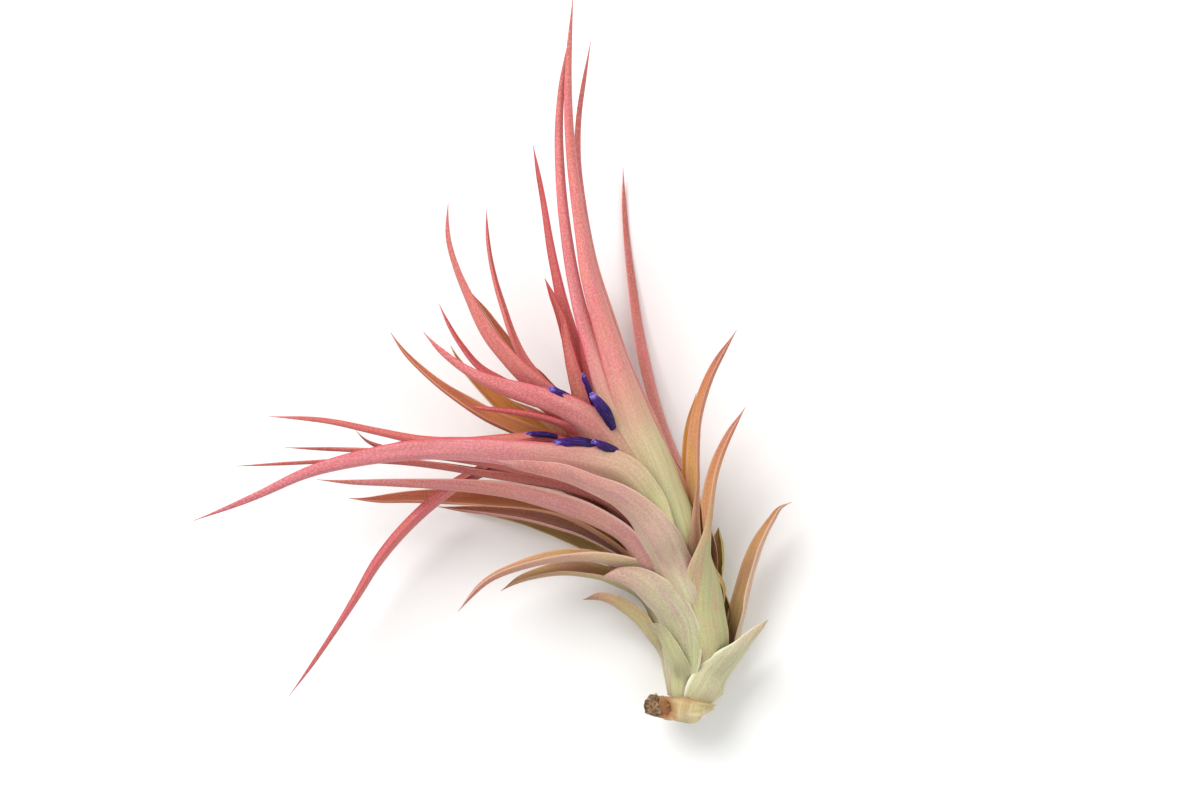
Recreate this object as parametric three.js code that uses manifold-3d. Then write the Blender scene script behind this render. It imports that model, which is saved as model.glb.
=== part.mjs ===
// Tillandsia abdita, an air plant, picked from its perch and laid on its back.
// Millimetres, +Z up. +Y runs along the plant from its old base to its tallest leaf, and the
// origin is the small flat spot under the base on which the plant rests.
import * as THREE from "three";
import { mergeVertices } from "three/addons/utils/BufferGeometryUtils.js";
import Module from "manifold-3d";

const wasm = await Module();
wasm.setup();

// Driving dimensions
const clearance = 0.36; // kept between neighbouring leaves
const stemLine = [
  [-6, -28.8, 15.5],
  [-3.5, -16, 14.3],
  [-0.5, -3, 14.3],
  [-0.5, 10, 16],
  [-3, 24, 19.5],
  [-9, 40, 24.5],
  [-17, 54, 30.5],
  [-26, 67, 36.5],
  [-35, 78, 41.5],
  [-42, 87, 45.5],
]; // middle of the short stem, from the old base to the growing tip
const stemRadiusLow = 6.5;
const stemRadiusTop = 2.4;
const footRound = 8; // length over which the foot of the stem is rounded off
const stemSides = 10;
const stubSides = 8;
const stubStations = 4;
const sheathLength = 19; // how far a leaf base hugs the stem before its blade leaves it
const sheathWidth = 18; // round the stem, where the blade leaves it
const sheathLean = 0.45; // how fast a sheath moves out from the stem
const footShare = 0.5; // width of a leaf's foot against its widest sheath
const sheathSeat = 0.45; // space between the stem and the foot of a leaf
const bladeCurl = 52; // half the angle of the channel in a blade's middle, in degrees
const tipCurl = 76; // the same at its tip, where the edges roll in
const sheathThickness = 0.95;
const midribThickness = 1.2;
const tipThickness = 0.8;
const edgeThickness = 0.6;
const widestArc = 82; // the most that half a section opens to, in degrees
const mostSpread = 0.3; // radians that a leaf's room may reach past its edge
const sheathStations = [0, 0.6, 1];
const stationSpacing = 16; // along a blade
const mostStations = 8;
const shortLeaf = 16; // a leaf shorter than this has two stations on its blade
const wideCells = 4; // flat strips across a broad leaf
const slimCells = 2;
const broadFrom = 15; // sheath width from which a leaf counts as broad

const radians = (degrees) => (degrees * Math.PI) / 180;
const mix = (a, b, share) => a + (b - a) * share;

function smoothStep(low, high, value) {
  const share = Math.min(1, Math.max(0, (value - low) / (high - low)));
  return share * share * (3 - 2 * share);
}

// A cubic curve through rows of numbers, the first three of which are a place. The parameter is
// the distance along the straight legs, and each slope is the three-point difference.
function curveThrough(rows) {
  const knots = [0];
  for (let i = 1; i < rows.length; i++) {
    const leg = [0, 1, 2].map((k) => rows[i][k] - rows[i - 1][k]);
    knots.push(knots[i - 1] + Math.hypot(...leg));
  }
  const last = rows.length - 1;
  const rise = (i, k) => (rows[i + 1][k] - rows[i][k]) / (knots[i + 1] - knots[i]);
  const slope = (i, k) => {
    if (i === 0) return 1.5 * rise(0, k) - 0.5 * slope(1, k);
    if (i === last) return 1.5 * rise(last - 1, k) - 0.5 * slope(last - 1, k);
    const before = knots[i] - knots[i - 1];
    const after = knots[i + 1] - knots[i];
    return (after * rise(i - 1, k) + before * rise(i, k)) / (before + after);
  };
  return {
    knots,
    length: knots[last],
    at(distance) {
      let i = 0;
      while (i < last - 1 && distance > knots[i + 1]) i++;
      const step = knots[i + 1] - knots[i];
      const t = (distance - knots[i]) / step;
      return rows[i].map((value, k) => {
        const here = slope(i, k) * step;
        const next = slope(i + 1, k) * step;
        const rise2 = rows[i + 1][k] - value;
        return value + t * (here + t * (3 * rise2 - 2 * here - next + t * (here + next - 2 * rise2)));
      });
    },
  };
}

const stem = curveThrough(stemLine);
const placeOn = (curve, distance) => new THREE.Vector3(...curve.at(distance).slice(0, 3));

function headingOf(curve, distance) {
  const from = placeOn(curve, distance - 0.5);
  return placeOn(curve, distance + 0.5).sub(from).normalize();
}

// The stem tapers towards its tip, and its foot is rounded off.
function stemRadius(distance) {
  const share = Math.min(1, (distance + 1) / (footRound + 1));
  return mix(stemRadiusLow, stemRadiusTop, distance / stem.length) * Math.sqrt(1 - (1 - share) ** 2);
}

// The way the inner side of a leaf faces when it grows along heading. A turn of 0 is a leaf on
// the upper side of the stem, 90 on its left, 180 underneath and -90 on its right.
function facing(heading, turn) {
  const across = new THREE.Vector3().crossVectors(heading, new THREE.Vector3(0, 0, 1)).normalize();
  const up = new THREE.Vector3().crossVectors(across, heading);
  return across.multiplyScalar(Math.sin(radians(turn))).addScaledVector(up, -Math.cos(radians(turn)));
}

// A closed body from rows of inner points and rows of outer points, split alike on both faces
function slab(inner, outer) {
  const wide = inner[0].length;
  const points = [...inner.flat(), ...outer.flat()];
  const offset = inner.length * wide;
  const triangles = [];
  const quad = (a, b, c, d) => triangles.push(a, b, c, a, c, d);
  for (let i = 0; i + 1 < inner.length; i++) {
    for (let j = 0; j + 1 < wide; j++) {
      const a = i * wide + j;
      const c = a + wide + 1;
      triangles.push(a, a + 1, c, a, c, c - 1);
      triangles.push(a + offset, c + offset, a + 1 + offset, a + offset, c - 1 + offset, c + offset);
    }
    const left = i * wide;
    const right = left + wide - 1;
    quad(left, left + wide, left + wide + offset, left + offset);
    quad(right, right + offset, right + wide + offset, right + wide);
  }
  const end = (inner.length - 1) * wide;
  for (let j = 0; j + 1 < wide; j++) {
    quad(j, j + offset, j + 1 + offset, j + 1);
    quad(end + j, end + j + 1, end + j + 1 + offset, end + j + offset);
  }
  const flat = Float32Array.from(points.flatMap((p) => [p.x, p.y, p.z]));
  return new wasm.Manifold(
    new wasm.Mesh({ numProp: 3, vertProperties: flat, triVerts: Uint32Array.from(triangles) }),
  );
}

// A leaf: its sheath hugs the stem on a widening cone, then its blade follows the leaf's own rows
// of x, y, z and width. Every section is an arc, open towards the inner side. Grown by a margin,
// the same leaf is the space that its neighbours keep out of.
function leafSolid(leaf, grow = 0) {
  const hug = leaf.hug ?? sheathLength;
  const foot = stemRadius(leaf.at) + sheathSeat;
  const broad = leaf.sheath ?? sheathWidth;
  const lean = leaf.lean ?? sheathLean;
  const sheathRows = [0, 0.5, 1].map((share) => {
    const along = leaf.at + share * hug;
    const heading = headingOf(stem, along);
    const radius = foot + lean * share * hug;
    const place = placeOn(stem, along).addScaledVector(facing(heading, leaf.turn), -radius);
    return [place.x, place.y, place.z, broad * mix(footShare, 1, share)];
  });
  const line = curveThrough([...sheathRows, ...leaf.rows]);
  const sheathEnd = line.knots[2];
  const stations = sheathStations.map((share) => share * sheathEnd);
  const wanted = leaf.stations ?? Math.round((line.length - sheathEnd) / stationSpacing);
  const bladeStations = Math.min(mostStations, Math.max(wanted, line.length > shortLeaf ? 4 : 2));
  for (let i = 1; i <= bladeStations; i++) {
    stations.push(mix(sheathEnd, line.length, i / bladeStations));
  }
  const cells = broad < broadFrom ? slimCells : wideCells;
  const inner = [];
  const outer = [];
  stations.forEach((distance, i) => {
    const share = Math.min(1, distance / sheathEnd);
    const freed = smoothStep(0.5 * sheathEnd, 1.5 * sheathEnd, distance);
    const out = (distance - sheathEnd) / (line.length - sheathEnd);
    const [x, y, z, widthHere] = line.at(distance);
    const width = Math.max(tipThickness, widthHere);
    const heading = headingOf(line, distance);
    const axis = headingOf(stem, leaf.at + share * hug).lerp(heading, freed).normalize();
    const twist = leaf.twist ?? 0;
    const turn = mix(leaf.turn, leaf.face ?? leaf.turn, smoothStep(twist, twist + 0.5, out));
    const open = facing(axis, turn);
    const side = new THREE.Vector3().crossVectors(axis, open);
    const curl = radians(mix(leaf.curl ?? bladeCurl, tipCurl, Math.max(0, out)));
    const bend = mix(1 / (foot + lean * share * hug), (2 * curl) / width, freed);
    const radius = 1 / bend;
    const half = Math.min(radians(widestArc), (width * bend) / 2);
    const steps = Array.from({ length: cells + 1 }, (_, j) => (2 * j) / cells - 1);
    if (grow > 0) {
      const end = 1 + Math.min(mostSpread, grow * bend) / half;
      steps.unshift(-end);
      steps.push(end);
    }
    const thickest = mix(leaf.thick ?? sheathThickness, midribThickness, freed);
    const middle = mix(thickest, tipThickness, Math.max(0, out));
    const centre = new THREE.Vector3(x, y, z).addScaledVector(open, radius);
    if (i === 0) centre.addScaledVector(heading, -grow);
    if (i === stations.length - 1) centre.addScaledVector(heading, grow);
    const rim = (angle, reach) =>
      centre
        .clone()
        .addScaledVector(side, Math.sin(angle) * reach)
        .addScaledVector(open, -Math.cos(angle) * reach);
    const innerRow = [];
    const outerRow = [];
    for (const across of steps) {
      const thick = mix(middle, edgeThickness, Math.min(1, across * across));
      innerRow.push(rim(across * half, Math.max(0.05, radius - grow)));
      outerRow.push(rim(across * half, radius + thick + grow));
    }
    inner.push(innerRow);
    outer.push(outerRow);
  });
  return slab(inner, outer);
}

// Leaves, those that lie over others first. at is the distance up the stem, turn the side of the
// stem, face the turn of the blade, twist where on the blade it starts to turn, and each row is x,
// y, z and width. hug, sheath, lean, thick, curl and stations, where given, are a leaf's own sheath
// length, width, lean and thickness, half angle of the channel, and sections along the blade.
const leaves = [
  {
    name: "base_leaf_1", at: 0, turn: 6, face: 6, hug: 1.8, sheath: 20, lean: 2, curl: 80,
    stations: 4,
    rows: [
      [-6.4, -26.2, 23.7, 25], [-6.2, -23.8, 25.2, 29], [-5.8, -21.4, 26, 32], [-5.4, -18.8, 26, 28],
    ],
  },
  {
    name: "base_leaf_2", at: 6, turn: 25, face: 40, hug: 10, sheath: 9,
    rows: [[-9.5, -4, 32, 8.5], [-12, 1, 33.5, 7.5], [-16, 7, 34, 5], [-20, 10, 34, 1]],
  },
  {
    name: "base_leaf_3", at: 2, turn: -45, face: -62, hug: 12, sheath: 23, lean: 0.6,
    rows: [
      [8, -11.5, 22, 21], [13.4, -4.8, 25, 17], [18.3, 1.5, 27.7, 10.5], [22, 6.4, 29.5, 5.5],
      [26, 10.7, 30, 1],
    ],
  },
  {
    name: "base_leaf_4", at: 8, turn: 30, face: 30, hug: 18, sheath: 18,
    rows: [
      [-11, 12, 33, 19], [-18, 20.5, 36, 17], [-25, 25.5, 37, 12], [-31.5, 27.6, 37, 6],
      [-37, 27, 36, 1],
    ],
  },
  {
    name: "base_leaf_5", at: 13, turn: -15, face: -115, twist: 0.15,
    rows: [
      [2, 17, 32, 19], [2.3, 30, 35.5, 14.5], [3.5, 45, 39, 9.5], [4.6, 60, 42, 8.5],
      [7, 70, 44, 7.5], [11, 80, 45, 5], [17, 91, 46, 1],
    ],
  },
  {
    name: "base_leaf_6", at: 9, turn: -105, face: -112, hug: 15, sheath: 15,
    rows: [
      [15.5, 8, 13, 14], [18, 19, 15, 13], [20.8, 31, 18, 11], [24, 40, 21, 8.5], [27.8, 48, 23, 5],
      [31, 53, 24.5, 2.8], [35, 55, 25, 1],
    ],
  },
  {
    name: "base_leaf_7", at: 9, turn: 100, face: 68, hug: 14, sheath: 15,
    rows: [
      [-18, 3, 17, 13], [-24, 10.5, 19, 12], [-30, 15.3, 20.5, 9.5], [-38, 18.8, 21.5, 5],
      [-44, 18, 21, 1],
    ],
  },
  {
    name: "left_leaf_1", at: 23, turn: 52, face: 98,
    rows: [
      [-20, 26.5, 28, 15], [-35, 32.8, 33, 14], [-50, 34, 35, 12], [-65, 31.3, 36, 9],
      [-80, 25.3, 36, 5], [-91, 14, 34, 1],
    ],
  },
  {
    name: "left_leaf_2", at: 17, turn: 84, face: 115,
    rows: [
      [-21, 18, 18.5, 14], [-34, 25.5, 21, 12.5], [-48, 28.5, 23.5, 11], [-60, 27.3, 25, 7.5],
      [-69, 24.8, 25, 4], [-75, 21.5, 24, 1],
    ],
  },
  {
    name: "left_leaf_3", at: 33, turn: 14, face: 30,
    rows: [
      [-12, 33, 39, 18], [-16, 41, 46.5, 18], [-22, 49.5, 52, 15], [-30, 56.5, 60, 12],
      [-40, 61.5, 68, 9.5], [-50.5, 66, 75, 8], [-60.5, 68.2, 81, 6], [-70, 70, 86, 4],
      [-77, 72, 89, 1],
    ],
  },
  {
    name: "right_leaf_1", at: 27, turn: -24, face: -115, sheath: 12, lean: 0.3,
    rows: [
      [0.8, 31, 29.5, 11], [-0.8, 45, 33.5, 10], [-1.2, 60, 37, 9.5], [-1.2, 75, 42, 9],
      [0, 88, 45.5, 8], [4, 102, 48.5, 6], [13.5, 120, 51, 1],
    ],
  },
  {
    name: "long_leaf_1", at: 53, turn: 40, face: 50, sheath: 20,
    rows: [
      [-23, 56, 50, 20], [-31, 65, 56.5, 19.5], [-42, 68.2, 60, 18.5], [-55, 69.8, 64, 17.5],
      [-70, 71.7, 67, 16.5], [-85, 73.2, 68, 15], [-105, 73.3, 68, 12.8], [-125, 71, 67, 9.5],
      [-145, 66.3, 65, 6.5], [-165, 58, 62, 3.5], [-189, 49, 58, 1],
    ],
  },
  {
    name: "tall_leaf_1", at: 60, turn: -12, face: -50,
    rows: [
      [-12.2, 58, 44.5, 17], [-16.8, 72, 49.5, 16], [-22, 84, 53, 15], [-27.6, 100, 57, 14],
      [-32.4, 115, 59, 13], [-36.6, 128, 60.5, 12], [-40.3, 140, 61.5, 10.5], [-43, 154, 62, 8.6],
      [-45.6, 170, 62.5, 7], [-48, 190, 63, 5.2], [-48.9, 210, 62.5, 3.6], [-48.6, 228, 62, 2.2],
      [-47.5, 244, 61, 1],
    ],
  },
  {
    name: "tall_leaf_2", at: 80, turn: -25, face: -50,
    rows: [
      [-24, 76, 50, 18], [-28, 86, 53, 17], [-32, 96, 55, 14.5], [-37.3, 110, 57, 11.5],
      [-43, 125, 59, 9], [-46.8, 140, 60, 7.4], [-49.8, 158, 60.5, 6], [-51.9, 178, 61, 5],
      [-52.5, 195, 61, 4.2], [-51.6, 210, 60.5, 3], [-49.3, 228, 60, 1],
    ],
  },
  {
    name: "crown_leaf_1", at: 90, turn: 15, face: 38, sheath: 17,
    rows: [
      [-36, 77, 55, 16.5], [-43, 84.9, 59, 15], [-51, 90, 62, 12.8], [-62, 94, 64, 10.8],
      [-72, 97.2, 65, 8.8], [-81, 101, 66, 6], [-89, 105.5, 66, 4], [-97, 112, 66, 2.5],
      [-103, 119, 66, 1],
    ],
  },
  {
    name: "left_leaf_4", at: 39, turn: 74, face: 66,
    rows: [
      [-31, 42.6, 38, 18], [-42, 48.6, 40, 17.5], [-55, 53.4, 41, 16], [-70, 57.6, 41.5, 13.5],
      [-85, 60, 41.5, 9.5], [-100, 61.3, 41.5, 7], [-115, 62.2, 41, 4.8], [-130, 62.8, 40.5, 2.8],
      [-144, 64, 40, 1],
    ],
  },
  {
    name: "long_leaf_2", at: 57, turn: 36, face: 90, sheath: 14,
    rows: [
      [-29, 55, 44.5, 13], [-40, 60.8, 47.5, 11.5], [-52, 64, 49, 10.5], [-65, 66.7, 49.5, 9.5],
      [-80, 69.6, 49.5, 8.3], [-95, 72, 49.5, 7], [-110, 73.7, 49, 5.6], [-130, 75, 48.5, 3.6],
      [-155.5, 76, 48, 1],
    ],
  },
  {
    name: "long_leaf_3", at: 47, turn: 42, face: 88, sheath: 14,
    rows: [
      [-24, 47, 41, 13], [-36, 56, 43.5, 11], [-50, 60.5, 45, 10], [-65, 63.3, 45.5, 9],
      [-80, 65.7, 45.5, 8], [-95, 68.3, 45.5, 7], [-112, 70.3, 45.5, 5.8], [-130, 70.9, 45.2, 4.2],
      [-152, 70.2, 44.7, 2.4], [-174, 69, 44, 1],
    ],
  },
  {
    name: "left_leaf_5", at: 43, turn: 110, face: 128,
    rows: [
      [-32, 40, 20, 15], [-48, 49.5, 21.5, 13], [-65, 54, 22, 11.5], [-80, 55.3, 22.5, 10.5],
      [-95, 55.7, 23, 9.2], [-110, 56, 23.5, 7], [-122, 55.8, 24, 4], [-132.5, 56.5, 24, 1],
    ],
  },
  {
    name: "left_leaf_6", at: 34, turn: 125, face: 125,
    rows: [
      [-28, 35, 15, 14], [-45, 43.5, 16.5, 11], [-60, 48, 17.5, 8.5], [-75, 50.5, 18.5, 6],
      [-88, 52, 19.5, 3.5], [-99, 53.3, 20, 1],
    ],
  },
  {
    name: "left_leaf_7", at: 28, turn: 150, face: 155,
    rows: [
      [-22, 26, 7, 13], [-38, 36.5, 3, 11], [-52, 43.6, 1.3, 9], [-66, 48, 0.8, 7],
      [-80, 51, 1.2, 4], [-92, 52.5, 3, 1],
    ],
  },
  {
    name: "drooping_leaf", at: 51.5, turn: 102, face: 104, sheath: 14,
    rows: [
      [-31, 45, 27, 13], [-46, 57, 29.5, 11.5], [-62, 65, 31.5, 11], [-76, 67.6, 32.5, 11],
      [-88, 62.8, 32.5, 11], [-99, 55, 33, 10.5], [-110, 45, 32.5, 9.5], [-121, 32, 30, 8],
      [-129, 19.5, 27, 6], [-136, 9, 24, 4], [-145, -4, 19, 2.4], [-156, -19, 12, 1],
    ],
  },
  {
    name: "long_leaf_4", at: 77, turn: 80, face: 108, sheath: 14,
    rows: [
      [-42, 74, 46, 13], [-55, 78.6, 51, 11.5], [-72, 77.6, 54, 10], [-88, 76.6, 55, 8.5],
      [-103, 77.8, 56, 7], [-120, 81.5, 56, 5], [-140, 86, 56, 3.2], [-161, 87.7, 55, 1],
    ],
  },
  {
    name: "long_leaf_5", at: 67, turn: 92, face: 100, sheath: 13,
    rows: [
      [-40, 61, 38, 12], [-58, 67.3, 41.5, 10], [-77, 70, 43.5, 8], [-95, 71.8, 45, 6.5],
      [-110, 73.5, 46, 5], [-119, 75.8, 46.5, 3.6], [-125, 78.6, 47, 2.4], [-129, 82.5, 47, 1],
    ],
  },
  {
    name: "long_leaf_6", at: 62, turn: 130, face: 135, sheath: 13,
    rows: [
      [-38, 62, 31, 12], [-55, 70.5, 35, 10], [-72, 74.6, 37, 8.5], [-90, 76.6, 38, 6.5],
      [-107, 77.3, 38, 4], [-121, 76, 38, 1],
    ],
  },
  {
    name: "crown_leaf_2", at: 82, turn: 118, face: 122, sheath: 13,
    rows: [
      [-49, 72, 35, 13], [-65, 80.3, 39, 11], [-80, 87, 42, 9.5], [-89, 92.6, 44, 8],
      [-97, 98.6, 45, 5.2], [-104, 104.6, 45.5, 3.4], [-110, 110.6, 46, 2.2], [-116, 119, 46, 1],
    ],
  },
  {
    name: "crown_leaf_3", at: 93, turn: 105, face: 110, hug: 16, sheath: 12,
    rows: [
      [-50, 84, 46, 9], [-62, 93, 49, 7.5], [-74, 100, 51, 6.2], [-83, 106, 52, 4.8],
      [-90, 115, 53, 3], [-97.5, 129.5, 53, 1],
    ],
  },
  {
    name: "crown_leaf_4", at: 73, turn: 150, face: 150, sheath: 13,
    rows: [
      [-44, 66, 24, 12], [-57, 77, 26, 11], [-68, 86, 28, 10.5], [-76, 92.5, 29.5, 8],
      [-83, 99, 30.5, 5], [-89, 106, 31, 2.5], [-94, 114, 31, 1],
    ],
  },
  {
    name: "bract_1", at: 107, turn: 45, face: 95, hug: 13, sheath: 11,
    rows: [
      [-45, 80.5, 51, 9.5], [-53, 85, 55, 8], [-62, 87.6, 57, 6.5], [-74, 89.7, 57, 4],
      [-87, 91.5, 57, 1],
    ],
  },
  {
    name: "crown_leaf_5", at: 103, turn: 78, face: 62, hug: 15, sheath: 13,
    rows: [
      [-50, 88, 49, 15], [-58, 95, 52, 15], [-67, 102, 55, 14], [-73.5, 109, 57, 12],
      [-79, 116, 58, 10], [-84, 125, 59, 7.5], [-87.5, 133, 59, 5.5], [-91, 142, 59, 3.5],
      [-94, 153, 59, 2.3], [-94, 167, 58, 1],
    ],
  },
  {
    name: "crown_leaf_6", at: 99, turn: 138, face: 110, hug: 13, sheath: 10,
    rows: [
      [-51, 90, 43, 8], [-59, 99, 44, 7], [-66, 108, 45, 6], [-71, 118.5, 45, 5], [-74, 128, 45, 4],
      [-77, 139, 45, 3], [-79, 150, 45, 2], [-80, 165, 44, 1],
    ],
  },
  {
    name: "crown_leaf_7", at: 88, turn: 155, face: 130, hug: 16, sheath: 12,
    rows: [
      [-51, 86, 33, 8], [-61, 100, 34, 6], [-70, 112, 35, 4.5], [-77, 121.5, 36, 3.5],
      [-82, 129, 36, 2.2], [-86, 134.5, 36, 1],
    ],
  },
  {
    name: "crown_leaf_8", at: 106, turn: 172, face: 165, hug: 13, sheath: 9,
    rows: [[-50, 91, 37, 7], [-57, 99, 38, 4.5], [-61, 104, 38.5, 2.8], [-65, 108, 39, 1]],
  },
  {
    name: "tall_leaf_3", at: 97, turn: -130, face: -130, hug: 16, sheath: 15,
    rows: [
      [-39, 94, 38, 12], [-43, 106, 40, 11], [-46.6, 116, 41.5, 9.5], [-49.7, 126, 42, 8],
      [-52.5, 137, 42, 6], [-55.5, 150, 42, 4.5], [-58, 164, 41, 3.2], [-61, 180, 40, 1.8],
      [-62.5, 189.5, 39, 1],
    ],
  },
  {
    name: "bract_2", at: 112, turn: -150, face: -165, hug: 10, sheath: 8,
    rows: [
      [-44, 93, 50, 7.5], [-46, 101, 52, 6.5], [-48.3, 110, 53.5, 5], [-50.4, 118, 54, 3.4],
      [-51.5, 126, 54, 1],
    ],
  },
  {
    name: "bract_3", at: 110, turn: 165, face: 175, hug: 12, sheath: 8,
    rows: [
      [-45, 96, 45, 7], [-48.5, 112, 47, 5.5], [-52, 124, 47.5, 3.6], [-55, 132, 48, 2.4],
      [-58, 139.3, 48, 1],
    ],
  },
  {
    name: "bract_4", at: 114, turn: -110, face: -130, hug: 12, sheath: 8,
    rows: [[-38.5, 92, 47, 7.5], [-40.5, 101, 49, 6.5], [-43, 110, 50, 4], [-45.3, 117.5, 50, 1]],
  },
  {
    name: "tall_leaf_4", at: 70, turn: -85, face: -70, sheath: 14,
    rows: [
      [-12, 74, 36, 13], [-18, 88, 41, 12], [-26, 105, 45, 11], [-33, 125, 47.5, 9.5],
      [-39.5, 145, 49, 8], [-43.5, 165, 50, 6.5], [-45.6, 185, 50.5, 4.5], [-45.2, 200, 50.5, 3],
      [-43.5, 213, 50, 2], [-41, 228, 49, 1],
    ],
  },
  {
    name: "right_leaf_2", at: 44, turn: -130, face: -70, sheath: 14,
    rows: [
      [1.2, 50, 15, 11], [-4.2, 63, 13.5, 10.5], [-9.6, 76, 12, 10], [-15, 91, 10, 9.4],
      [-19, 106, 7.5, 8.8], [-22, 121, 4.6, 7.5], [-24.5, 137, 2.4, 6], [-26.8, 154, 0.9, 4],
      [-28.2, 169, 1.2, 2.5], [-28.7, 182.5, 3, 1],
    ],
  },
  {
    name: "tall_leaf_5", at: 92, turn: -170, face: 180, hug: 16, sheath: 12,
    rows: [[-34, 92, 31, 8], [-38, 102, 33, 4.5], [-41.5, 112, 34, 1]],
  },
  {
    name: "right_leaf_3", at: 31, turn: -105, face: -150, sheath: 11, lean: 0.3,
    rows: [
      [4.8, 30, 19.5, 10], [0.5, 44, 24, 10], [-2, 57, 27.5, 8.5], [-3.4, 70, 30, 6.5],
      [-3.4, 83, 32, 4], [-1.3, 96.3, 33, 1],
    ],
  },
  {
    name: "right_leaf_4", at: 21, turn: -138, face: -140, sheath: 13,
    rows: [[6.6, 22, 6, 12], [7.6, 33, 7, 10], [7.8, 45, 9, 3]],
  },
  {
    name: "under_leaf_1", at: 3, turn: 180, face: 178, hug: 13, sheath: 17, thick: 1.9,
    rows: [[0.5, 0, 0.8, 17], [0.8, 13, 1.3, 12], [2, 26, 4, 1]],
  },
  {
    name: "under_leaf_2", at: 15, turn: 172, face: 175, hug: 13, sheath: 13,
    rows: [[-4, 30, 4, 13], [-8, 43, 2.5, 11], [-13, 56, 2, 8], [-17, 68, 2, 4], [-20, 80, 3, 1]],
  },
  {
    name: "under_leaf_3", at: 34, turn: 160, face: 165, hug: 17, sheath: 12,
    rows: [[-11, 40, 11, 13], [-20, 52, 8, 11], [-31, 61, 6, 9], [-45, 69, 4, 6], [-62, 75, 4, 1]],
  },
  {
    name: "under_leaf_4", at: 46, turn: -175, face: 178, sheath: 13,
    rows: [
      [-14, 57, 12.5, 13], [-21, 74, 10, 11], [-28, 92, 8, 9], [-35, 110, 6, 6], [-41, 132, 4, 1],
    ],
  },
  {
    name: "under_leaf_5", at: 57, turn: 162, face: 160, sheath: 13,
    rows: [
      [-26, 61, 18, 13], [-40, 73, 17, 11], [-54, 83, 15, 8], [-65, 89.5, 13, 4.5],
      [-72, 94, 12, 1],
    ],
  },
  {
    name: "under_leaf_6", at: 67, turn: -150, face: -160, hug: 17, sheath: 12,
    rows: [
      [-16, 70, 22, 12], [-22, 88, 20, 10.5], [-29, 107, 18, 8], [-35.5, 127, 16, 5],
      [-41.5, 146, 15, 1],
    ],
  },
];

// Dry scales left round the foot of the stem
const dryScales = [
  {
    name: "dry_scale_1", at: 0.5, turn: 110, face: 110, hug: 4, sheath: 9,
    rows: [[-16, -21.5, 13, 7], [-17.5, -19.5, 12.5, 2]],
  },
  {
    name: "dry_scale_2", at: 0.5, turn: 18, face: 30, hug: 4, sheath: 5,
    rows: [[-13, -23, 24.6, 5], [-14, -18.4, 26.4, 2.5]],
  },
];

const group = new THREE.Group();

// A mesh from a solid
function addPiece(name, solid, colour, roughness) {
  const { vertProperties, triVerts, numProp } = solid.getMesh();
  const geometry = new THREE.BufferGeometry();
  geometry.setAttribute("position", new THREE.BufferAttribute(Float32Array.from(vertProperties), numProp));
  geometry.setIndex(new THREE.BufferAttribute(Uint32Array.from(triVerts), 1));
  const material = new THREE.MeshStandardMaterial({ color: colour, roughness, metalness: 0 });
  const mesh = new THREE.Mesh(geometry, material);
  mesh.name = name;
  group.add(mesh);
}

// The largest body of a solid, without the loose scraps that a cut leaves
function largestBody(solid) {
  return solid.decompose().reduce((best, body) => (body.volume() > best.volume() ? body : best));
}

// A round rod along rows of x, y, z and radius
function rodSolid(rows, stations, sides, grow = 0) {
  const line = curveThrough(rows);
  const points = [];
  for (let i = 0; i < stations; i++) {
    const distance = (line.length * i) / (stations - 1);
    const [x, y, z, radius] = line.at(distance);
    const heading = headingOf(line, distance);
    const open = facing(heading, 0);
    const side = new THREE.Vector3().crossVectors(heading, open);
    const centre = new THREE.Vector3(x, y, z);
    if (i === 0) centre.addScaledVector(heading, -grow);
    if (i === stations - 1) centre.addScaledVector(heading, grow);
    for (let j = 0; j < sides; j++) {
      const angle = (2 * Math.PI * j) / sides;
      const rim = centre.clone().addScaledVector(side, Math.cos(angle) * (radius + grow));
      points.push(rim.addScaledVector(open, Math.sin(angle) * (radius + grow)));
    }
  }
  const triangles = [];
  for (let i = 0; i + 1 < stations; i++) {
    for (let j = 0; j < sides; j++) {
      const a = i * sides + j;
      const b = i * sides + ((j + 1) % sides);
      triangles.push(a, b + sides, b, a, a + sides, b + sides);
    }
  }
  const last = (stations - 1) * sides;
  for (let j = 1; j + 1 < sides; j++) {
    triangles.push(0, j, j + 1, last, last + j + 1, last + j);
  }
  const flat = Float32Array.from(points.flatMap((p) => [p.x, p.y, p.z]));
  return new wasm.Manifold(
    new wasm.Mesh({ numProp: 3, vertProperties: flat, triVerts: Uint32Array.from(triangles) }),
  );
}

// The brown stub of the old runner, on the left of the foot
const stubRows = [
  [-9.5, -24.8, 16.5, 3],
  [-14, -23.2, 19.5, 4.2],
  [-18.5, -21.4, 22.8, 4],
];

// Flowers in the axils of the top leaves: the middle line of each as x, y, z and tube radius
const flowers = [
  { name: "flower_1", rows: [[-44.6, 91, 57.5, 1.2], [-49.5, 94.4, 61.5, 1.7], [-55.8, 98, 65, 1.6]] },
  { name: "flower_2", rows: [[-40, 92, 56, 0.9], [-41.6, 97.5, 60.3, 1], [-43.6, 102.6, 63.3, 0.8]] },
  { name: "flower_3", rows: [[-32.6, 83, 56.5, 1.6], [-35.8, 89.5, 61.5, 2.4], [-40.4, 95.6, 66, 2.2]] },
  { name: "flower_4", rows: [[-53.5, 80, 56.3, 0.9], [-58.5, 80.9, 58.8, 1], [-64, 81.2, 61, 0.8]] },
  { name: "flower_5", rows: [[-37, 76.4, 59.8, 1.5], [-44.5, 78, 63.7, 2], [-54, 77.8, 66.7, 1.6]] },
  { name: "flower_6", rows: [[-31.2, 74.9, 58.7, 1.2], [-35, 76.2, 62.2, 1.6], [-39.8, 78.2, 65.2, 1.4]] },
];
const petalsEach = 3;
const petalCurl = 66; // half the angle that one petal wraps round the tube, in degrees
const petalStations = 3;

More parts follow.
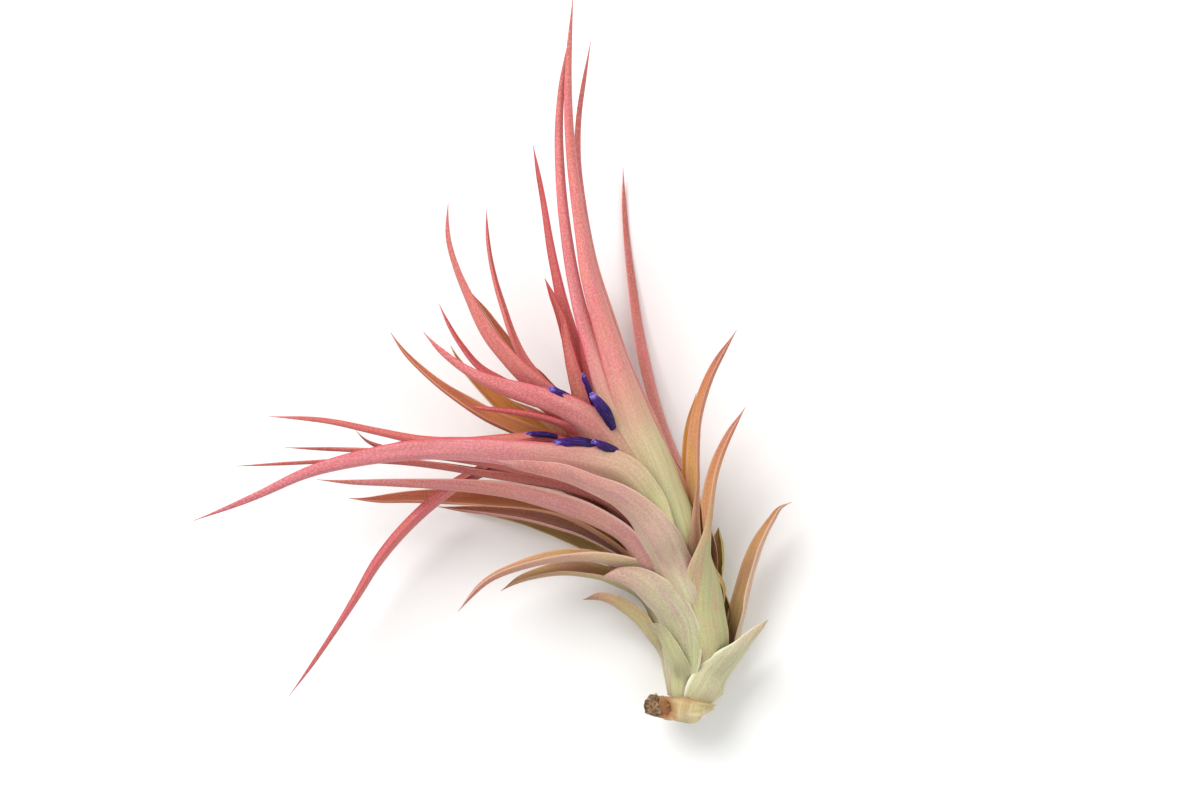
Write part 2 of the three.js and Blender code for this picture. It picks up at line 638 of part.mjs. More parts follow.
// A flower: petals rolled round a slim core, each standing out further towards its tip
function flowerSolid(flower, grow = 0) {
  const line = curveThrough(flower.rows);
  const coreRows = flower.rows.map(([x, y, z, radius]) => [x, y, z, radius * 0.75]);
  let solid = rodSolid(coreRows, 3, 5, grow);
  for (let petal = 0; petal < petalsEach; petal++) {
    const turn = (360 * petal) / petalsEach;
    const inner = [];
    const outer = [];
    for (let i = 0; i < petalStations; i++) {
      const share = i / (petalStations - 1);
      const distance = line.length * mix(0.12, 1.08, share);
      const [x, y, z, radius] = line.at(distance);
      const heading = headingOf(line, distance);
      const open = facing(heading, turn);
      const side = new THREE.Vector3().crossVectors(heading, open);
      const flare = radius * mix(0.35, 1.1, share * share);
      const half = radians(petalCurl) * Math.sin(Math.PI * mix(0.3, 0.96, share));
      const centre = new THREE.Vector3(x, y, z).addScaledVector(open, -0.35 * flare);
      const rim = (angle, reach) =>
        centre
          .clone()
          .addScaledVector(side, Math.sin(angle) * reach)
          .addScaledVector(open, -Math.cos(angle) * reach);
      inner.push([-1, 0, 1].map((across) => rim(across * half, Math.max(0.1, flare - grow))));
      outer.push([-1, 0, 1].map((across) => rim(across * half, flare + edgeThickness + grow)));
    }
    solid = solid.add(slab(inner, outer));
  }
  return solid;
}

// Each piece gives way to the pieces placed before it, and keeps its clearance to them.
const rooms = [];
function place(name, solid, room, colour, roughness) {
  for (const earlier of rooms) {
    if (!solid.intersect(earlier).isEmpty()) solid = solid.subtract(earlier);
  }
  rooms.push(room);
  addPiece(name, largestBody(solid), colour, roughness);
}

const leafColours = {
  base: 0xc3c49b, left: 0xc79f8c, right: 0xd0996a, long: 0xd9857f, drooping: 0xd8827c, tall: 0xdc8280,
  crown: 0xd8837c, bract: 0xcf6a68, under: 0xa7a283,
};

const stemRows = stemLine.map(([x, y, z], i) => [x, y, z, stemRadius(stem.knots[i])]);
const stemAt = (grow) => rodSolid(stemRows, stemRows.length, stemSides, grow);
const stubAt = (grow) => rodSolid(stubRows, stubStations, stubSides, grow);
place("stem", stemAt(0), stemAt(clearance), 0xb9ad86, 0.8);
place("old_stub", stubAt(0), stubAt(clearance), 0x6d5038, 0.95);

const ground = new THREE.BoxGeometry(600, 600, 20).translate(0, 0, -10);
ground.deleteAttribute("normal");
ground.deleteAttribute("uv");
const groundMesh = mergeVertices(ground);
const groundSolid = new wasm.Manifold(
  new wasm.Mesh({
    numProp: 3,
    vertProperties: groundMesh.attributes.position.array,
    triVerts: Uint32Array.from(groundMesh.index.array),
  }),
);
for (const leaf of [...leaves, ...dryScales]) {
  const colour = leafColours[leaf.name.split("_")[0]] ?? 0x8a6a48;
  place(leaf.name, leafSolid(leaf).subtract(groundSolid), leafSolid(leaf, clearance), colour, 0.6);
}
for (const flower of flowers) {
  place(flower.name, flowerSolid(flower), flowerSolid(flower, clearance), 0x4b2fa0, 0.5);
}

export default group;
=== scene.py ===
import math
import bpy
import numpy as np
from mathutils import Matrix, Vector


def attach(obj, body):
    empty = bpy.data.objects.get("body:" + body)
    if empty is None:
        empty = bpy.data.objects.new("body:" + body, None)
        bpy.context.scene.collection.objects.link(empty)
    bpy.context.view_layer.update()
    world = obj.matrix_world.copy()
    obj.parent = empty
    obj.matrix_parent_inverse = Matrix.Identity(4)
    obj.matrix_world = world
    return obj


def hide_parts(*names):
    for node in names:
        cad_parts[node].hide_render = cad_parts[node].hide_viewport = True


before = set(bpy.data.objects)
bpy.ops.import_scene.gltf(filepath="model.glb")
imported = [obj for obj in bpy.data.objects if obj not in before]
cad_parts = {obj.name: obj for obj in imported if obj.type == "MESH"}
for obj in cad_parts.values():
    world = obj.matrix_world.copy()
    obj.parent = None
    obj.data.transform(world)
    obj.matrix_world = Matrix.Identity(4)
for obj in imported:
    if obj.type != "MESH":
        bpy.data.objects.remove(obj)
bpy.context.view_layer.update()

mm = 0.001  # the lists below are in millimetres, Blender is in metres
print("frame loaded")

cameraSetup = {
    "place": (-0.0375, 0.09375, 2.045),  # straight above the middle of the picture
    "lens": 160,
    "sensorWidth": 36,
}


def addObject(name, data):
    added = bpy.data.objects.new(name, data)
    bpy.context.collection.objects.link(added)
    return added


cameraData = bpy.data.cameras.new("plantCamera")
cameraData.lens = cameraSetup["lens"]
cameraData.sensor_width = cameraSetup["sensorWidth"]
camera = addObject("plantCamera", cameraData)
camera.location = cameraSetup["place"]
bpy.context.scene.camera = camera

# The short stem that all leaves grow from: x, y, z of its middle, from the old base to the tip
stemForm = {
    "line": [(-6, -28.8, 15.5), (-3.5, -16, 14.3), (-0.5, -3, 14.3), (-0.5, 10, 16), (-3, 24, 19.5),
             (-9, 40, 24.5), (-17, 54, 30.5), (-26, 67, 36.5), (-35, 78, 41.5), (-42, 87, 45.5)],
    "lowRadius": 6.5,
    "topRadius": 2.4,
    "footRound": 8,  # length over which the foot is rounded off
    "stations": 90,
    "sides": 36,
}

# What every leaf has in common. Its sheath hugs the stem, then its blade follows its own rows.
leafForm = {
    "sheathLength": 19,
    "sheathWidth": 18,
    "sheathLean": 0.45,  # how fast a sheath moves out from the stem
    "sheathSeat": 0.45,
    "footShare": 0.5,  # width of the foot against the widest part of the sheath
    "bladeCurl": 52,  # half the angle of the channel, in degrees
    "tipCurl": 76,
    "widestArc": 82,
    "sheathThickness": 0.95,
    "midribThickness": 1.2,
    "tipThickness": 0.8,
    "edgeThickness": 0.42,
    "stations": 132,
    "cells": 22,
    "freeFrom": 0.5,  # shares of the sheath's length between which a blade leaves the stem
    "freeTo": 1.5,
    "twistLength": 0.5,  # share of the blade over which it turns
    "closeFrom": 0.9,  # share of the length from which the tip closes
    "closeDepth": 0.97,
    "looseFrom": 0.25,  # share of the blade past which it wanders freely
    "sway": 0.35,  # how far a blade strays from its line
    "widthWander": 0.05,
    "turnWander": 5,  # degrees
    "rimRipple": 0.22,
    "ripples": 7,
    "rippleWidth": 8,  # a blade narrower than this ripples less
    "foldDepth": 0.17,  # of the lengthwise folds of a blade as wide as foldWidth
    "foldWidth": 14,
    "folds": 2.3,
    "foldDrift": 0.8,
    "rimLift": 0.3,  # how far the rims stand out from the leaf below
    "liftWidth": 10,  # a blade narrower than this has a lower rim
    "floorGap": 0.02,
    "seed": 100,
}

# Leaves: at is the distance up the stem, turn the side of the stem (0 above, 90 left, 180 under),
# face the turn of the blade, twist where on the blade it starts to turn, and a row is x, y, z and
# width. hug, sheath, lean, thick and curl, where given, are a leaf's own length, width, lean and
# thickness of the sheath, and half angle of the channel.
leaves = [
    {"name": "base_leaf_1", "paint": "cream", "at": 0, "turn": 6, "face": 6, "hug": 1.8,
     "sheath": 20, "lean": 2, "curl": 80,
     "rows": [(-6.4, -26.2, 23.7, 25), (-6.2, -23.8, 25.2, 29), (-5.8, -21.4, 26, 32),
              (-5.4, -18.8, 26, 28)]},
    {"name": "base_leaf_2", "paint": "sage", "at": 6, "turn": 25, "face": 40, "hug": 10, "sheath": 9,
     "rows": [(-9.5, -4, 32, 8.5), (-12, 1, 33.5, 7.5), (-16, 7, 34, 5), (-20, 10, 34, 1)]},
    {"name": "base_leaf_3", "paint": "frostedSage", "at": 2, "turn": -45, "face": -62, "hug": 12,
     "sheath": 23, "lean": 0.6,
     "rows": [(8, -11.5, 22, 21), (13.4, -4.8, 25, 17), (18.3, 1.5, 27.7, 10.5), (22, 6.4, 29.5, 5.5),
              (26, 10.7, 30, 1)]},
    {"name": "base_leaf_4", "paint": "sageBlush", "at": 8, "turn": 30, "face": 30, "hug": 18,
     "sheath": 18,
     "rows": [(-11, 12, 33, 19), (-18, 20.5, 36, 17), (-25, 25.5, 37, 12), (-31.5, 27.6, 37, 6),
              (-37, 27, 36, 1)]},
    {"name": "base_leaf_5", "paint": "ember", "at": 13, "turn": -15, "face": -115, "twist": 0.15,
     "rows": [(2, 17, 32, 19), (2.3, 30, 35.5, 14.5), (3.5, 45, 39, 9.5), (4.6, 60, 42, 8.5),
              (7, 70, 44, 7.5), (11, 80, 45, 5), (17, 91, 46, 1)]},
    {"name": "base_leaf_6", "paint": "amber", "at": 9, "turn": -105, "face": -112, "hug": 15,
     "sheath": 15,
     "rows": [(15.5, 8, 13, 14), (18, 19, 15, 13), (20.8, 31, 18, 11), (24, 40, 21, 8.5),
              (27.8, 48, 23, 5), (31, 53, 24.5, 2.8), (35, 55, 25, 1)]},
    {"name": "base_leaf_7", "paint": "oliveTan", "at": 9, "turn": 100, "face": 68, "hug": 14,
     "sheath": 15,
     "rows": [(-18, 3, 17, 13), (-24, 10.5, 19, 12), (-30, 15.3, 20.5, 9.5), (-38, 18.8, 21.5, 5),
              (-44, 18, 21, 1)]},
    {"name": "left_leaf_1", "paint": "tan", "at": 23, "turn": 52, "face": 98,
     "rows": [(-20, 26.5, 28, 15), (-35, 32.8, 33, 14), (-50, 34, 35, 12), (-65, 31.3, 36, 9),
              (-80, 25.3, 36, 5), (-91, 14, 34, 1)]},
    {"name": "left_leaf_2", "paint": "oliveTan", "at": 17, "turn": 84, "face": 115,
     "rows": [(-21, 18, 18.5, 14), (-34, 25.5, 21, 12.5), (-48, 28.5, 23.5, 11), (-60, 27.3, 25, 7.5),
              (-69, 24.8, 25, 4), (-75, 21.5, 24, 1)]},
    {"name": "left_leaf_3", "paint": "paleRose", "at": 33, "turn": 14, "face": 30,
     "rows": [(-12, 33, 39, 18), (-16, 41, 46.5, 18), (-22, 49.5, 52, 15), (-30, 56.5, 60, 12),
              (-40, 61.5, 68, 9.5), (-50.5, 66, 75, 8), (-60.5, 68.2, 81, 6), (-70, 70, 86, 4),
              (-77, 72, 89, 1)]},
    {"name": "right_leaf_1", "paint": "flame", "at": 27, "turn": -24, "face": -115,
     "sheath": 12, "lean": 0.3,
     "rows": [(0.8, 31, 29.5, 11), (-0.8, 45, 33.5, 10), (-1.2, 60, 37, 9.5), (-1.2, 75, 42, 9),
              (0, 88, 45.5, 8), (4, 102, 48.5, 6), (13.5, 120, 51, 1)]},
    {"name": "long_leaf_1", "paint": "rose", "at": 53, "turn": 40, "face": 50, "sheath": 20,
     "rows": [(-23, 56, 50, 20), (-31, 65, 56.5, 19.5), (-42, 68.2, 60, 18.5), (-55, 69.8, 64, 17.5),
              (-70, 71.7, 67, 16.5), (-85, 73.2, 68, 15), (-105, 73.3, 68, 12.8), (-125, 71, 67, 9.5),
              (-145, 66.3, 65, 6.5), (-165, 58, 62, 3.5), (-189, 49, 58, 1)]},
    {"name": "tall_leaf_1", "paint": "tallCoral", "at": 60, "turn": -12, "face": -50,
     "rows": [(-12.2, 58, 44.5, 17), (-16.8, 72, 49.5, 16), (-22, 84, 53, 15), (-27.6, 100, 57, 14),
              (-32.4, 115, 59, 13), (-36.6, 128, 60.5, 12), (-40.3, 140, 61.5, 10.5),
              (-43, 154, 62, 8.6), (-45.6, 170, 62.5, 7), (-48, 190, 63, 5.2),
              (-48.9, 210, 62.5, 3.6), (-48.6, 228, 62, 2.2), (-47.5, 244, 61, 1)]},
    {"name": "tall_leaf_2", "paint": "tallRose", "at": 80, "turn": -25, "face": -50,
     "rows": [(-24, 76, 50, 18), (-28, 86, 53, 17), (-32, 96, 55, 14.5), (-37.3, 110, 57, 11.5),
              (-43, 125, 59, 9), (-46.8, 140, 60, 7.4), (-49.8, 158, 60.5, 6), (-51.9, 178, 61, 5),
              (-52.5, 195, 61, 4.2), (-51.6, 210, 60.5, 3), (-49.3, 228, 60, 1)]},
    {"name": "crown_leaf_1", "paint": "crownRose", "at": 90, "turn": 15, "face": 38, "sheath": 17,
     "rows": [(-36, 77, 55, 16.5), (-43, 84.9, 59, 15), (-51, 90, 62, 12.8), (-62, 94, 64, 10.8),
              (-72, 97.2, 65, 8.8), (-81, 101, 66, 6), (-89, 105.5, 66, 4), (-97, 112, 66, 2.5),
              (-103, 119, 66, 1)]},
    {"name": "left_leaf_4", "paint": "mauve", "at": 39, "turn": 74, "face": 66,
     "rows": [(-31, 42.6, 38, 18), (-42, 48.6, 40, 17.5), (-55, 53.4, 41, 16),
              (-70, 57.6, 41.5, 13.5), (-85, 60, 41.5, 9.5), (-100, 61.3, 41.5, 7),
              (-115, 62.2, 41, 4.8), (-130, 62.8, 40.5, 2.8), (-144, 64, 40, 1)]},
    {"name": "long_leaf_2", "paint": "shadedRed", "at": 57, "turn": 36, "face": 90, "sheath": 14,
     "rows": [(-29, 55, 44.5, 13), (-40, 60.8, 47.5, 11.5), (-52, 64, 49, 10.5),
              (-65, 66.7, 49.5, 9.5), (-80, 69.6, 49.5, 8.3), (-95, 72, 49.5, 7),
              (-110, 73.7, 49, 5.6), (-130, 75, 48.5, 3.6), (-155.5, 76, 48, 1)]},
    {"name": "long_leaf_3", "paint": "shadedRed", "at": 47, "turn": 42, "face": 88, "sheath": 14,
     "rows": [(-24, 47, 41, 13), (-36, 56, 43.5, 11), (-50, 60.5, 45, 10), (-65, 63.3, 45.5, 9),
              (-80, 65.7, 45.5, 8), (-95, 68.3, 45.5, 7), (-112, 70.3, 45.5, 5.8),
              (-130, 70.9, 45.2, 4.2), (-152, 70.2, 44.7, 2.4), (-174, 69, 44, 1)]},
    {"name": "left_leaf_5", "paint": "rust", "at": 43, "turn": 110, "face": 128,
     "rows": [(-32, 40, 20, 15), (-48, 49.5, 21.5, 13), (-65, 54, 22, 11.5), (-80, 55.3, 22.5, 10.5),
              (-95, 55.7, 23, 9.2), (-110, 56, 23.5, 7), (-122, 55.8, 24, 4), (-132.5, 56.5, 24, 1)]},
    {"name": "left_leaf_6", "paint": "mauveBrown", "at": 34, "turn": 125, "face": 125,
     "rows": [(-28, 35, 15, 14), (-45, 43.5, 16.5, 11), (-60, 48, 17.5, 8.5), (-75, 50.5, 18.5, 6),
              (-88, 52, 19.5, 3.5), (-99, 53.3, 20, 1)]},
    {"name": "left_leaf_7", "paint": "olive", "at": 28, "turn": 150, "face": 155,
     "rows": [(-22, 26, 7, 13), (-38, 36.5, 3, 11), (-52, 43.6, 1.3, 9), (-66, 48, 0.8, 7),
              (-80, 51, 1.2, 4), (-92, 52.5, 3, 1)]},
    {"name": "drooping_leaf", "paint": "droop", "at": 51.5, "turn": 102, "face": 104, "sheath": 14,
     "rows": [(-31, 45, 27, 13), (-46, 57, 29.5, 11.5), (-62, 65, 31.5, 11), (-76, 67.6, 32.5, 11),
              (-88, 62.8, 32.5, 11), (-99, 55, 33, 10.5), (-110, 45, 32.5, 9.5), (-121, 32, 30, 8),
              (-129, 19.5, 27, 6), (-136, 9, 24, 4), (-145, -4, 19, 2.4), (-156, -19, 12, 1)]},
    {"name": "long_leaf_4", "paint": "coral", "at": 77, "turn": 80, "face": 108, "sheath": 14,
     "rows": [(-42, 74, 46, 13), (-55, 78.6, 51, 11.5), (-72, 77.6, 54, 10), (-88, 76.6, 55, 8.5),
              (-103, 77.8, 56, 7), (-120, 81.5, 56, 5), (-140, 86, 56, 3.2), (-161, 87.7, 55, 1)]},
    {"name": "long_leaf_5", "paint": "mauveRed", "at": 67, "turn": 92, "face": 100, "sheath": 13,
     "rows": [(-40, 61, 38, 12), (-58, 67.3, 41.5, 10), (-77, 70, 43.5, 8), (-95, 71.8, 45, 6.5),
              (-110, 73.5, 46, 5), (-119, 75.8, 46.5, 3.6), (-125, 78.6, 47, 2.4), (-129, 82.5, 47, 1)]},
    {"name": "long_leaf_6", "paint": "goldRed", "at": 62, "turn": 130, "face": 135, "sheath": 13,
     "rows": [(-38, 62, 31, 12), (-55, 70.5, 35, 10), (-72, 74.6, 37, 8.5), (-90, 76.6, 38, 6.5),
              (-107, 77.3, 38, 4), (-121, 76, 38, 1)]},
    {"name": "crown_leaf_2", "paint": "rust", "at": 82, "turn": 118, "face": 122, "sheath": 13,
     "rows": [(-49, 72, 35, 13), (-65, 80.3, 39, 11), (-80, 87, 42, 9.5), (-89, 92.6, 44, 8),
              (-97, 98.6, 45, 5.2), (-104, 104.6, 45.5, 3.4), (-110, 110.6, 46, 2.2),
              (-116, 119, 46, 1)]},
    {"name": "crown_leaf_3", "paint": "brightRose", "at": 93, "turn": 105, "face": 110, "hug": 16,
     "sheath": 12,
     "rows": [(-50, 84, 46, 9), (-62, 93, 49, 7.5), (-74, 100, 51, 6.2), (-83, 106, 52, 4.8),
              (-90, 115, 53, 3), (-97.5, 129.5, 53, 1)]},
    {"name": "crown_leaf_4", "paint": "gold", "at": 73, "turn": 150, "face": 150, "sheath": 13,
     "rows": [(-44, 66, 24, 12), (-57, 77, 26, 11), (-68, 86, 28, 10.5), (-76, 92.5, 29.5, 8),
              (-83, 99, 30.5, 5), (-89, 106, 31, 2.5), (-94, 114, 31, 1)]},
    {"name": "bract_1", "paint": "brightRose", "at": 107, "turn": 45, "face": 95, "hug": 13,
     "sheath": 11,
     "rows": [(-45, 80.5, 51, 9.5), (-53, 85, 55, 8), (-62, 87.6, 57, 6.5), (-74, 89.7, 57, 4),
              (-87, 91.5, 57, 1)]},
    {"name": "crown_leaf_5", "paint": "coral", "at": 103, "turn": 78, "face": 62, "hug": 15,
     "sheath": 13,
     "rows": [(-50, 88, 49, 15), (-58, 95, 52, 15), (-67, 102, 55, 14), (-73.5, 109, 57, 12),
              (-79, 116, 58, 10), (-84, 125, 59, 7.5), (-87.5, 133, 59, 5.5), (-91, 142, 59, 3.5),
              (-94, 153, 59, 2.3), (-94, 167, 58, 1)]},
    {"name": "crown_leaf_6", "paint": "coral", "at": 99, "turn": 138, "face": 110, "hug": 13,
     "sheath": 10,
     "rows": [(-51, 90, 43, 8), (-59, 99, 44, 7), (-66, 108, 45, 6), (-71, 118.5, 45, 5),
              (-74, 128, 45, 4), (-77, 139, 45, 3), (-79, 150, 45, 2), (-80, 165, 44, 1)]},
    {"name": "crown_leaf_7", "paint": "goldRed", "at": 88, "turn": 155, "face": 130, "hug": 16,
     "sheath": 12,
     "rows": [(-51, 86, 33, 8), (-61, 100, 34, 6), (-70, 112, 35, 4.5), (-77, 121.5, 36, 3.5),
              (-82, 129, 36, 2.2), (-86, 134.5, 36, 1)]},
    {"name": "crown_leaf_8", "paint": "brown", "at": 106, "turn": 172, "face": 165, "hug": 13,
     "sheath": 9,
     "rows": [(-50, 91, 37, 7), (-57, 99, 38, 4.5), (-61, 104, 38.5, 2.8), (-65, 108, 39, 1)]},
    {"name": "tall_leaf_3", "paint": "brightRose", "at": 97, "turn": -130, "face": -130, "hug": 16,
     "sheath": 15,
     "rows": [(-39, 94, 38, 12), (-43, 106, 40, 11), (-46.6, 116, 41.5, 9.5), (-49.7, 126, 42, 8),
              (-52.5, 137, 42, 6), (-55.5, 150, 42, 4.5), (-58, 164, 41, 3.2), (-61, 180, 40, 1.8),
              (-62.5, 189.5, 39, 1)]},
    {"name": "bract_2", "paint": "coral", "at": 112, "turn": -150, "face": -165, "hug": 10, "sheath": 8,
     "rows": [(-44, 93, 50, 7.5), (-46, 101, 52, 6.5), (-48.3, 110, 53.5, 5), (-50.4, 118, 54, 3.4),
              (-51.5, 126, 54, 1)]},
    {"name": "bract_3", "paint": "brightRose", "at": 110, "turn": 165, "face": 175, "hug": 12,
     "sheath": 8,
     "rows": [(-45, 96, 45, 7), (-48.5, 112, 47, 5.5), (-52, 124, 47.5, 3.6), (-55, 132, 48, 2.4),
              (-58, 139.3, 48, 1)]},
    {"name": "bract_4", "paint": "brightRose", "at": 114, "turn": -110, "face": -130, "hug": 12,
     "sheath": 8,
     "rows": [(-38.5, 92, 47, 7.5), (-40.5, 101, 49, 6.5), (-43, 110, 50, 4), (-45.3, 117.5, 50, 1)]},
    {"name": "tall_leaf_4", "paint": "coral", "at": 70, "turn": -85, "face": -70, "sheath": 14,
     "rows": [(-12, 74, 36, 13), (-18, 88, 41, 12), (-26, 105, 45, 11), (-33, 125, 47.5, 9.5),
              (-39.5, 145, 49, 8), (-43.5, 165, 50, 6.5), (-45.6, 185, 50.5, 4.5),
              (-45.2, 200, 50.5, 3), (-43.5, 213, 50, 2), (-41, 228, 49, 1)]},
    {"name": "right_leaf_2", "paint": "slimRed", "at": 44, "turn": -130, "face": -70, "sheath": 14,
     "rows": [(1.2, 50, 15, 11), (-4.2, 63, 13.5, 10.5), (-9.6, 76, 12, 10), (-15, 91, 10, 9.4),
              (-19, 106, 7.5, 8.8), (-22, 121, 4.6, 7.5), (-24.5, 137, 2.4, 6), (-26.8, 154, 0.9, 4),
              (-28.2, 169, 1.2, 2.5), (-28.7, 182.5, 3, 1)]},
    {"name": "tall_leaf_5", "paint": "brown", "at": 92, "turn": -170, "face": 180, "hug": 16,
     "sheath": 12,
     "rows": [(-34, 92, 31, 8), (-38, 102, 33, 4.5), (-41.5, 112, 34, 1)]},
    {"name": "right_leaf_3", "paint": "sun", "at": 31, "turn": -105, "face": -150,
     "sheath": 11, "lean": 0.3,
     "rows": [(4.8, 30, 19.5, 10), (0.5, 44, 24, 10), (-2, 57, 27.5, 8.5), (-3.4, 70, 30, 6.5),
              (-3.4, 83, 32, 4), (-1.3, 96.3, 33, 1)]},
    {"name": "right_leaf_4", "paint": "moss", "at": 21, "turn": -138, "face": -140, "sheath": 13,
     "rows": [(6.6, 22, 6, 12), (7.6, 33, 7, 10), (7.8, 45, 9, 3)]},
    {"name": "under_leaf_1", "paint": "sage", "at": 3, "turn": 180, "face": 178, "hug": 13,
     "sheath": 17, "thick": 1.9,
     "rows": [(0.5, 0, 0.8, 17), (0.8, 13, 1.3, 12), (2, 26, 4, 1)]},
    {"name": "under_leaf_2", "paint": "olive", "at": 15, "turn": 172, "face": 175, "hug": 13,
     "sheath": 13,
     "rows": [(-4, 30, 4, 13), (-8, 43, 2.5, 11), (-13, 56, 2, 8), (-17, 68, 2, 4), (-20, 80, 3, 1)]},
    {"name": "under_leaf_3", "paint": "oliveTan", "at": 34, "turn": 160, "face": 165, "hug": 17,
     "sheath": 12,
     "rows": [(-11, 40, 11, 13), (-20, 52, 8, 11), (-31, 61, 6, 9), (-45, 69, 4, 6), (-62, 75, 4, 1)]},
    {"name": "under_leaf_4", "paint": "mauveBrown", "at": 46, "turn": -175, "face": 178, "sheath": 13,
     "rows": [(-14, 57, 12.5, 13), (-21, 74, 10, 11), (-28, 92, 8, 9), (-35, 110, 6, 6),
              (-41, 132, 4, 1)]},
    {"name": "under_leaf_5", "paint": "mauveBrown", "at": 57, "turn": 162, "face": 160, "sheath": 13,
     "rows": [(-26, 61, 18, 13), (-40, 73, 17, 11), (-54, 83, 15, 8), (-65, 89.5, 13, 4.5),
              (-72, 94, 12, 1)]},
    {"name": "under_leaf_6", "paint": "mauveRed", "at": 67, "turn": -150, "face": -160, "hug": 17,
     "sheath": 12,
     "rows": [(-16, 70, 22, 12), (-22, 88, 20, 10.5), (-29, 107, 18, 8), (-35.5, 127, 16, 5),
              (-41.5, 146, 15, 1)]},
]

dryScales = [
    {"name": "dry_scale_1", "paint": "paper", "at": 0.5, "turn": 110, "face": 110, "hug": 4,
     "sheath": 9,
     "rows": [(-16, -21.5, 13, 7), (-17.5, -19.5, 12.5, 2)]},
    {"name": "dry_scale_2", "paint": "paper", "at": 0.5, "turn": 18, "face": 30, "hug": 4, "sheath": 5,
     "rows": [(-13, -23, 24.6, 5), (-14, -18.4, 26.4, 2.5)]},
]

